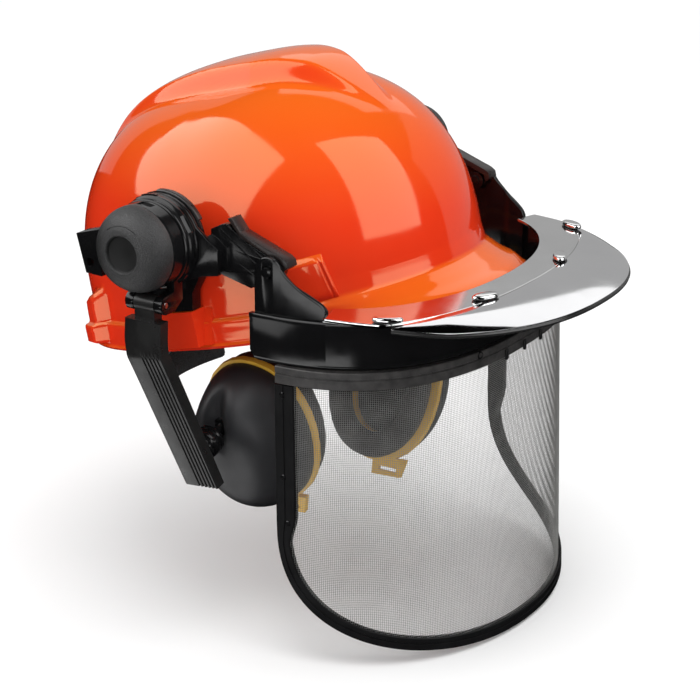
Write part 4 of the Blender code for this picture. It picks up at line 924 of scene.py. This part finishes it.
    # cushion: soft ring, full section, light creases, pressed against the amber ring
    N, Sx = 160, 30
    bm = bmesh.new()
    vs = []
    outer = oval(CUP_HY - 0.6, CUP_HZ - 0.6, 0, N)
    inner = oval(20.4, 29.4, 0, N)
    for i in range(N):
        (t1, y1, _), (t0, y0, _) = outer[i], inner[i]
        a = math.tau * i / N
        cre = 0.35 * math.sin(9 * a + 1.3) + 0.25 * math.sin(17 * a) + 0.2 * math.sin(29 * a + 0.5)
        ring = []
        for k in range(Sx):
            ph = math.tau * k / Sx
            c, sn = math.cos(ph), math.sin(ph)
            f = 0.5 + 0.5 * math.copysign(abs(c) ** 0.85, c) * (1.0 if sn < 0 else 0.93)
            nn = -7.2 + (6.9 if sn > 0 else 6.8) * math.copysign(abs(sn) ** 0.8, sn)
            if sn < 0:
                nn += cre * 0.5 * (-sn)
            seam = 0.7 * math.exp(-((ph - math.radians(330)) / 0.10) ** 2)
            f -= seam * 0.03
            t_, y_ = t0 + (t1 - t0) * f, y0 + (y1 - y0) * f
            ring.append(bm.verts.new([q * MM for q in P(t_, y_, nn)]))
        vs.append(ring)
    for i in range(N):
        a, b = vs[i], vs[(i + 1) % N]
        for k in range(Sx):
            bm.faces.new((a[k], b[k], b[(k + 1) % Sx], a[(k + 1) % Sx]))
    bmesh.ops.recalc_face_normals(bm, faces=bm.faces)
    cu_ = obj("ear_cushion_%s_v" % tag, bm, "vinyl", 70)
    place(cu_, cupb, "ear_cushion_" + tag, slot="cushion_vinyl")
    # liner: soft foam pad with a dimpled face
    rings = []
    for kk, nn in ((0.0, 5.2), (0.35, 5.0), (0.7, 5.1), (0.92, 5.6), (1.0, 7.2), (1.0, 12.0), (0.97, 17.0), (0.92, 18.8), (0.6, 19.0), (0.0, 19.0)):
        ring = []
        for j, (t_, y_, _) in enumerate(oval(26.6 * max(kk, 0.001), 36.6 * max(kk, 0.001), 0, 96)):
            wob = 0.5 * noise.noise(Vector((t_ * 0.16, y_ * 0.16, s * 3.0))) if nn < 7 else 0
            ring.append(P(t_, y_, nn + wob))
        rings.append(ring)
    ln = loft("cup_liner_%s_v" % tag, rings, "foam", ang=70)
    place(ln, cupb, "cup_liner_" + tag, slot="foam")

# ============================================================ visor carriers
VIS_Y, VIS_Z = -66.5, 57.5
for s, tag in ((-1, "right"), (1, "left")):
    lk = from_cad("visor_link_" + tag, "gloss", 0.0)
    bevel(lk, 0.6, 2, 32, "gloss")
    place(lk, "helmet", "visor_link_" + tag, slot="black_gloss")
    # three raised ribs on the link's outer face
    ribs = [((-36.5, 78.6), (-66.0, 60.5)), ((-33.5, 75.6), (-62.5, 55.2)), ((-29.5, 66.0), (-56.0, 52.5))]
    for i, (p, q) in enumerate(ribs):
        dv = Vector((q[0] - p[0], q[1] - p[1])).normalized()
        nv = Vector((-dv.y, dv.x)) * 0.45
        pts = [(p[0] + nv.x, p[1] + nv.y), (q[0] + nv.x, q[1] + nv.y), (q[0] - nv.x, q[1] - nv.y), (p[0] - nv.x, p[1] - nv.y)]
        rb = outline("link_rib_%s_%d" % (tag, i + 1), pts, s * 114.3, s * 114.98)
        bevel(rb, 0.22, 2, 30, "gloss")
        place(rb, "helmet", slot="black_gloss")
    place(from_cad("visor_lever_" + tag, "lever", 0.6, 3), "lever_" + tag, "visor_lever_" + tag, slot="black_gloss")
    place(from_cad("visor_pivot_" + tag, "gloss", 0.4), "helmet", "visor_pivot_" + tag, slot="steel")

# ============================================================ visor and peak
VIS_HW, VIS_FRONT, VIS_LEAN = 119.5, 156.5, 12.0
VIS_TOP, VIS_SIDE, VIS_LOW, VIS_SIDE_Y, PEAK_Z = 5.0, -84.0, -165.0, -69.4, 36.0


def sup(a, y0, b, e, t):
    c, s_ = math.cos(t), math.sin(t)
    return (-a * math.copysign(abs(c) ** (2 / e), c), y0 - b * abs(s_) ** (2 / e))


def polar(a, y0, b, e, ang, cy=-75.0):
    c, s_ = math.cos(ang), math.sin(ang)
    lo, hi = 0.0, 260.0
    for _ in range(44):
        r = (lo + hi) / 2
        x, y = abs(r * c), max(0.0, y0 - (cy - r * s_))
        lo, hi = (r, hi) if (x / a) ** e + (y / b) ** e < 1 else (lo, r)
    return lo


def inner_r(a):
    return polar(112.0, -62.0, 84.0, 2.2, a)


def seam_r(a):
    return polar(140.0, -70.0, 94.0, 2.3, a)


def rim_r(a):
    return polar(121.0, -74.5, 131.3, 2.3, a)


def at(a, r, z):
    return (-r * math.cos(a), -75.0 - r * math.sin(a), z)


NP = 181
rows = []
for k in (0.0, 0.02, 0.25, 0.5, 0.75, 0.98, 1.0):
    rows.append([at(a, inner_r(a) + (min(seam_r(a), rim_r(a)) - 0.4 - inner_r(a)) * k, PEAK_Z + 1.8 - 0.6 * k) for a in arc(12.6, 167.4, NP)])
collar = sheet("peak_collar_v", rows, 2.0, None)
bevel(collar, 0.45, 2, 40, "silver", clean=False)
place(collar, "visor", "peak_collar", slot="silver")
good = [a for a in arc(2, 178, 353) if rim_r(a) - seam_r(a) > 3.0]
angs2 = arc(math.degrees(good[0]), math.degrees(good[-1]), NP)
rows = []
PK = [(0.0, 1.2), (0.02, 1.3), (0.12, 1.75), (0.25, 1.95), (0.40, 1.85), (0.55, 1.4), (0.70, 0.6), (0.85, -0.6), (0.94, -1.6), (0.985, -2.2), (1.0, -2.4)]
for k, dz in PK:
    rows.append([at(a, seam_r(a) + (rim_r(a) - seam_r(a)) * k, PEAK_Z + dz * min(1.0, (rim_r(a) - seam_r(a)) / 20.0)) for a in angs2])
peak = sheet("peak_outer_v", rows, 2.0, None, ang=50)
bevel(peak, 0.4, 2, 45, "chrome", clean=False)
place(peak, "visor", "peak_outer", slot="chrome_peak")
cu = bpy.data.curves.new("peak_rim", "CURVE")
cu.dimensions, cu.bevel_depth, cu.bevel_resolution, cu.use_fill_caps = "3D", 0.00105, 3, True
sp = cu.splines.new("POLY"); sp.points.add(len(angs2) - 1)
for q, a in zip(sp.points, angs2):
    p = at(a, rim_r(a) + 0.1, PEAK_Z - 2.75 * min(1.0, (rim_r(a) - seam_r(a)) / 20.0) - 0.55)
    q.co = (*[c * MM for c in p], 1)
rim = bpy.data.objects.new("peak_rim", cu)
COL.objects.link(rim); cu.materials.append(MAT["rim"])
place(rim, "visor", slot="black_gloss")
for i, deg in enumerate((29, 62, 118, 151)):
    a = math.radians(deg)
    p = at(a, seam_r(a) - 3.5, 0)
    m = Matrix.Translation((p[0] * MM, p[1] * MM, 0)) @ Matrix.Rotation(a, 4, "Z")
    rings = []
    for k, z in ((0.86, 2.4), (1.0, 2.9), (1.04, 3.6), (1.0, 4.5), (0.90, 5.0), (0.70, 5.25), (0.35, 5.4), (0.02, 5.42)):
        rings.append([(4.0 * k * math.cos(t), 8.0 * k * math.sin(t), PEAK_Z + z) for t in [math.tau * j / 48 for j in range(48)]])
    cl = loft("peak_clip_%d_v" % (i + 1), rings, None, m=m, ang=60)
    cl.data.materials.clear()
    for k_ in ("silver", "rim"):
        cl.data.materials.append(MAT[k_])
    for f in cl.data.polygons:
        f.material_index = 1 if f.center.z * 1000 < PEAK_Z + 3.4 else 0
    place(cl, "visor", "peak_clip_%d" % (i + 1), slot="silver")

# brow frame
BROW_A, BROW_Y = 119.8, -56.0


def brow_x(y, off=0.0):
    q = min(1.0, max(0.0, (BROW_Y - y) / (VIS_FRONT + BROW_Y - 1.6)))
    return (BROW_A + off) * (1 - q ** 2.5) ** 0.4


def brow_pt(t, z, off=0.0):
    return (*sup(BROW_A + off, BROW_Y, VIS_FRONT + BROW_Y - 1.6 + off, 2.5, t), z)


# wall: swept closed section, thicker rolled lips along both edges
half = [180 * i / 220 for i in range(221)]
rings = []
for d_ in half:
    t = math.radians(d_)
    end = smooth(min(d_, 180 - d_) / 4.0)
    zl, zh = 8.0, PEAK_Z - 1.8
    sec = [(-1.6, zl + 0.3), (-1.3, zl), (1.2, zl), (1.7, zl + 0.5), (1.7, zl + 1.4), (1.3, zl + 1.9), (1.3, zh - 3.3), (1.75, zh - 2.7), (1.75, zh - 0.5), (1.3, zh),
           (-1.3, zh), (-1.6, zh - 0.3)]
    rings.append([brow_pt(t, z, o) for o, z in sec])
brow = loft("brow_frame_v", rings, None, ang=40)
for s in (-1, 1):
    cor = [(BROW_Y + 2.5, 16.5)] + [(BROW_Y - 8.0 + 8.6 * math.cos(a), 16.4 - 8.6 * math.sin(a)) for a in arc(4, 88, 14)] + [(BROW_Y - 9.0, 5.0), (BROW_Y + 3.0, 5.0)]
    cut(brow, outline("cor", cor, s * 110.0, s * 126.0, "YZ"))
bevel(brow, 0.45, 2, 38, "gloss", clean=False)
place(brow, "visor", "brow_frame", slot="black_gloss")
for s, tag in ((-1, "right"), (1, "left")):
    top_ = [(VIS_Y + 8.3 * math.cos(a), VIS_Z + 8.3 * math.sin(a)) for a in arc(2, 158, 30)]
    top_ += catmull([(-74.4, 60.0), (-76.8, 57.0), (-79.8, 54.3), (-85.5, 49.8), (-92.4, 45.6), (-97.0, 42.4), (-99.0, 39.6)], 4)
    rings = []
    for y, z in top_:
        xi = 115.2 + (brow_x(y) - 4.2 - 115.2) * smooth((-y - 81.0) / 7.0)
        xo = brow_x(y) - 0.7
        rings.append([(s * xi, y, 13.0), (s * xo, y, 13.0), (s * xo, y, z - 0.5), (s * (xo - 0.5), y, z), (s * (xi + 0.5), y, z), (s * xi, y, z - 0.5)])
    ear_ = loft("brow_ear_" + tag, rings, None, ang=40)
    cut(ear_, cylinder("bore", 3.4, s * 110, s * 125, (VIS_Y, VIS_Z), k=32))
    bevel(ear_, 0.35, 2, 40, "gloss", clean=False)
    place(ear_, "visor", slot="black_gloss")


def vis_plan(u, z, off=0.0):
    k = (VIS_TOP - z) / (VIS_TOP - VIS_LOW)
    e = 2.45 - 0.35 * k
    fr = VIS_FRONT - 1.0 + VIS_LEAN * k
    lo = math.radians(4.0)
    t = lo + (math.pi - 2 * lo) * u
    y0 = VIS_SIDE_Y + 2.0
    b = fr + y0
    c, s_ = math.cos(t), math.sin(t)
    r = (abs(c) ** e + abs(s_) ** e) ** (-1 / e)
    a = VIS_HW + 0.6
    return Vector((-(a + off) * r * c, y0 - (b + off) * r * s_, z))


def vis_low(u):
    e = abs(2 * u - 1)
    return VIS_SIDE - (VIS_SIDE - VIS_LOW) * (1 - e ** 2.5) ** (1 / 2.5)


def vis_normal(u, z):
    du = vis_plan(min(1, u + 0.003), z) - vis_plan(max(0, u - 0.003), z)
    dz = vis_plan(u, z + 1.0) - vis_plan(u, z - 1.0)
    nv = du.cross(dz).normalized()
    p = vis_plan(u, z)
    return nv if nv.dot(Vector((p.x, p.y + 60, 0))) > 0 else -nv


# woven wire: two crossing sets of fine wires on the visor's surface
PITCH_W, WIRE = 1.08, 0.100
bm = bmesh.new()
tab_u = [i / 400 for i in range(401)]
length = [0.0]
for a, b in zip(tab_u, tab_u[1:]):
    length.append(length[-1] + (vis_plan(b, -60) - vis_plan(a, -60)).length)
total = length[-1]


def u_at(s_):
    lo, hi = 0, 400
    while hi - lo > 1:
        mid = (lo + hi) // 2
        lo, hi = (mid, hi) if length[mid] <= s_ else (lo, mid)
    f = (s_ - length[lo]) / (length[hi] - length[lo] + 1e-9)
    return (lo + f) / 400


def wire(pts, nrm, r):
    """Square-section strand through points."""
    prev = None
    for i, p in enumerate(pts):
        a, b = pts[max(0, i - 1)], pts[min(len(pts) - 1, i + 1)]
        T = (b - a).normalized()
        N_ = nrm[i]
        B_ = T.cross(N_).normalized()
        ring = [bm.verts.new((p + N_ * (r * x) + B_ * (r * y)) * MM) for x, y in ((1, 0), (0, 1), (-1, 0), (0, -1))]
        if prev:
            for k in range(4):
                bm.faces.new((prev[k], prev[(k + 1) % 4], ring[(k + 1) % 4], ring[k]))
        prev = ring


step = PITCH_W * 1
s_ = 6.0
k = 0
while s_ < total - 6.0:
    u = u_at(s_)
    z0, z1 = VIS_TOP - 1.0, vis_low(u) + 3.2
    cnt = max(3, int((z0 - z1) / 9))
    pts, nr = [], []
    for i in range(cnt + 1):
        z = z0 + (z1 - z0) * i / cnt
        nv = vis_normal(u, z)
        pts.append(vis_plan(u, z) + nv * 0.10); nr.append(nv)
    wire(pts, nr, WIRE)
    s_ += step
z = VIS_TOP - 1.6
while z > VIS_LOW + 3.6:
    # the range of u where the sheet reaches down to z
    us = [u_at(6.0 + (total - 12.0) * i / 160) for i in range(161)]
    us = [u for u in us if vis_low(u) + 3.2 < z]
    if len(us) > 3:
        a, b = us[0], us[-1]
        cnt = max(8, int(70 * (b - a)))
        pts, nr = [], []
        for i in range(cnt + 1):
            u = a + (b - a) * i / cnt
            nv = vis_normal(u, z)
            pts.append(vis_plan(u, z) - nv * 0.10); nr.append(nv)
        wire(pts, nr, WIRE)
    z -= step
wm = obj("visor_mesh_v", bm, "wire", 80)
place(wm, "visor", "visor_mesh", slot="mesh")

# top rail
rings = []
for i in range(161):
    u = i / 160
    p = vis_plan(u, 3.0)
    q = vis_plan(min(1, u + 0.004), 3.0) - vis_plan(max(0, u - 0.004), 3.0)
    nv = Vector((q.y, -q.x, 0)).normalized()
    if nv.dot(Vector((p.x, p.y + 60, 0))) < 0:
        nv = -nv
    sec = [(-3.2, 7.7), (3.0, 7.7), (3.4, 7.3), (3.4, 4.2), (2.9, 3.9), (2.9, 3.3), (3.4, 3.0), (3.4, -1.8), (3.0, -2.2), (1.0, -2.2), (1.0, 5.6), (-1.0, 5.6), (-1.0, -2.2),
           (-3.2, -2.2), (-3.6, -1.8), (-3.6, 7.3)]
    rings.append([tuple(p + nv * a + Vector((0, 0, b - 3.0))) for a, b in sec])
rail = loft("visor_rail_v", rings, "rail", ang=30)
place(rail, "visor", "visor_rail", slot="black_satin")


def stud(name, u, z, r, h, inner, mat="gloss", off=3.4):
    p, nv = vis_plan(u, z), vis_normal(u, z)
    q = Vector((0, 0, 1)).rotation_difference(nv).to_matrix().to_4x4()
    mt = Matrix.Translation((p + nv * off) * MM) @ q
    ob = turned(name, [(0, h - 0.5), (inner, h - 0.5), (inner + 0.25, h), (r - 0.4, h), (r, h - 0.4), (r, -0.6), (0, -0.6)], mt, mat, 36)
    return place(ob, "visor", slot="black_gloss")


def u_for(xx, z):
    lo, hi = 0.0, 1.0
    for _ in range(30):
        mid = (lo + hi) / 2
        lo, hi = (mid, hi) if vis_plan(mid, z).x < xx else (lo, mid)
    return (lo + hi) / 2


stud("rail_stud_1", u_for(-44, 5), 5.4, 2.2, 0.5, 1.3, "gloss")
stud("rail_stud_2", u_for(44, 5), 5.4, 2.2, 0.5, 1.3, "gloss")
for i, xx in enumerate((-20.0, 20.0, 0.0)):
    u = u_for(xx, 0)
    p, nv = vis_plan(u, -0.5), vis_normal(u, -0.5)
    pg = outline("rail_peg_%d" % (i + 1), [(-1.3, 2.6), (1.3, 2.6), (1.2, -1.2), (1.9, -2.4), (0.6, -3.6), (-1.2, -3.1), (-1.3, -1.5)], 3.2, 4.3, "XZ")
    q = Matrix.Identity(4)
    tg = Vector((0, 0, 1)).cross(nv).normalized()
    for r_ in range(3):
        q[r_][0], q[r_][1], q[r_][2], q[r_][3] = tg[r_], nv[r_], (0, 0, 1)[r_], p[r_] * MM
    pg.data.transform(q)
    if q.determinant() < 0:
        pg.data.flip_normals()
    bevel(pg, 0.3, 2, 30, "satin")
    place(pg, "visor", slot="black_satin")

# edge binding with a fine groove along its middle
edge = [(0.0, -3.2 + (VIS_SIDE + 3.2) * k / 20) for k in range(21)]
us2 = [0.5 - 0.5 * math.cos(math.pi * i / 240) for i in range(241)]
us2 = [0.8 * u + 0.2 * i / 240 for i, u in enumerate(us2)]
edge += [(u, vis_low(u)) for u in us2[1:-1]]
edge += [(1.0, z) for _, z in reversed(edge[:21])]
pts3 = [vis_plan(u, z) for u, z in edge]
rings = []
for i, ((u, z), p) in enumerate(zip(edge, pts3)):
    a = pts3[max(0, i - 1)]
    b = pts3[min(len(pts3) - 1, i + 1)]
    T = (b - a).normalized()
    side = smooth((z - (VIS_SIDE - 14)) / 18.0)
    wide = 0.028 * side
    du = vis_plan(min(1, u + 0.003 + (wide if u < 0.5 else 0)), z) - vis_plan(max(0, u - 0.003 - (wide if u > 0.5 else 0)), z)
    dz = vis_plan(u, z + 1.0) - vis_plan(u, z - 1.0)
    nv = du.cross(dz).normalized()
    if nv.dot(Vector((p.x, p.y + 60, 0))) < 0:
        nv = -nv
    B = nv.cross(T).normalized()
    if B.dot(Vector((0, -130, -60)) - p) < 0:
        B = -B
    nv = T.cross(B).normalized()
    if nv.dot(Vector((p.x, p.y + 60, 0))) < 0:
        nv = -nv
    w_ = 6.0 + 4.2 * side
    g = w_ * 0.42
    sec = [(-1.2, -2.1), (w_ - 0.4, -2.1), (w_, -1.8), (w_, -0.95), (0.6, -0.95), (0.6, 0.95), (w_, 0.95), (w_, 1.8), (w_ - 0.4, 2.1),
           (g + 0.55, 2.1), (g + 0.3, 1.6), (g - 0.3, 1.6), (g - 0.55, 2.1), (-1.2, 2.1), (-1.6, 1.6), (-1.6, -1.6)]
    rings.append([tuple(p + B * a_ + nv * b_) for a_, b_ in sec])
bd = loft("edge_binding_v", rings, "rubber", ang=35)
place(bd, "visor", "edge_binding", slot="black_satin")
for s, uu in ((-1, 0.0), (1, 1.0)):
    for i, z in enumerate((-9.0, -57.0, -101.0)):
        u = 0.012 if s < 0 else 0.988
        if z < -90:
            u = 0.020 if s < 0 else 0.980
        r_ = stud("strip_rivet_%s_%d" % ("right" if s < 0 else "left", i + 1), u, max(z, -79) if z > -90 else -84.0, 1.7, 0.4, 0.8, "gloss", 2.05)

# ============================================================ every CAD node that is still shown gets a finish
for nm, ob in NODES.items():
    if not ob.hide_render:
        for sl in ob.material_slots:
            sl.material = MAT["satin"]

# ============================================================ floor, world, lights
lo = min(v for v in (CAD_BOX[0][2],))
bm = bmesh.new()
bmesh.ops.create_grid(bm, x_segments=2, y_segments=2, size=14.0)
floor = obj("floor", bm, None)
floor.location = (0, 0, lo - 0.0015)
fm, nt, b = new_mat("floor_paper")
v = coords(nt)
nt.links.new(ramp(nt, noise_fac(nt, v, 3.0), [(0.3, (0.93, 0.93, 0.93)), (0.7, (0.95, 0.95, 0.95))]), b.inputs["Base Color"])
b.inputs["Roughness"].default_value = 0.9
b.inputs["Specular IOR Level"].default_value = 0.1
floor.data.materials.append(fm)

world = bpy.data.worlds.new("studio")
bpy.context.scene.world = world
world.use_nodes = True
bg = world.node_tree.nodes["Background"]
bg.inputs["Color"].default_value = (1.0, 1.0, 1.0, 1.0)
bg.inputs["Strength"].default_value = 1.0
world.cycles_visibility.glossy = False
floor.visible_glossy = False


def area(name, loc, target, size, size_y, power, col=(1, 1, 1)):
    li = bpy.data.lights.new(name, "AREA")
    li.shape, li.size, li.size_y, li.energy, li.color = "RECTANGLE", size, size_y, power, col
    ob = bpy.data.objects.new(name, li)
    bpy.context.scene.collection.objects.link(ob)
    ob.location = loc
    dv = Vector(target) - Vector(loc)
    ob.rotation_euler = dv.to_track_quat("-Z", "Y").to_euler()
    return ob


key = area("softbox_top", (-0.5, -0.7, 2.2), (0, 0, 0), 1.6, 1.6, 22)
key.visible_glossy = False
fill = area("softbox_front", (-1.6, -1.2, 0.9), (0, 0, 0.0), 1.4, 1.4, 5)
fill.visible_glossy = False
for o in (key, fill):
    o.visible_camera = False


def panel(name, corners, strength):
    """A studio reflector that shows only in glossy surfaces."""
    bm = bmesh.new()
    bm.faces.new([bm.verts.new(c) for c in corners])
    ob = obj(name, bm, None)
    m = bpy.data.materials.new(name)
    m.use_nodes = True
    nt = m.node_tree
    nt.nodes.clear()
    em = nt.nodes.new("ShaderNodeEmission")
    em.inputs["Strength"].default_value = strength
    out = nt.nodes.new("ShaderNodeOutputMaterial")
    nt.links.new(em.outputs[0], out.inputs["Surface"])
    ob.data.materials.append(m)
    ob.visible_camera = ob.visible_diffuse = ob.visible_shadow = ob.visible_transmission = False
    return ob


def pos(az_, el_, d_):
    a_, e_ = math.radians(az_), math.radians(el_)
    return (math.sin(a_) * math.cos(e_) * d_, -math.cos(a_) * math.cos(e_) * d_, math.sin(e_) * d_)


panel("reflector_left", [(0.39, 1.24, 1.04), (-0.82, -0.19, 1.51), (-1.64, 0.14, 0.47), (-0.70, 1.46, 0.52)], 3.4)
panel("reflector_front", [(-0.24, -0.40, 1.67), (0.78, -0.72, 1.33), (0.78, -1.47, 0.30), (-0.55, -1.58, 0.39)], 3.0)
panel("reflector_back", [pos(50, -4, 3.0), pos(95, -4, 3.0), pos(150, -4, 3.0), pos(175, 10, 3.0), pos(150, 34, 3.0), pos(95, 34, 3.0), pos(50, 30, 3.0)], 0.40)
panel("reflector_low_left", [pos(-110, -12, 1.5), pos(-90, -12, 1.5), pos(-58, -12, 1.5), pos(-58, 4, 1.5), pos(-90, -1, 1.5), pos(-110, -4, 1.5)], 3.2)
panel("reflector_under", [pos(-178, -34, 1.3), pos(-112, -32, 1.3), pos(-108, -62, 1.3), pos(-178, -62, 1.3)], 1.5)
panel("reflector_high", [pos(86, 25, 2.2), pos(128, 25, 2.2), pos(134, 52, 2.2), pos(80, 52, 2.2)], 1.15)
bpy.context.scene.view_settings.view_transform = "Standard"
bpy.context.scene.view_settings.look = "None"
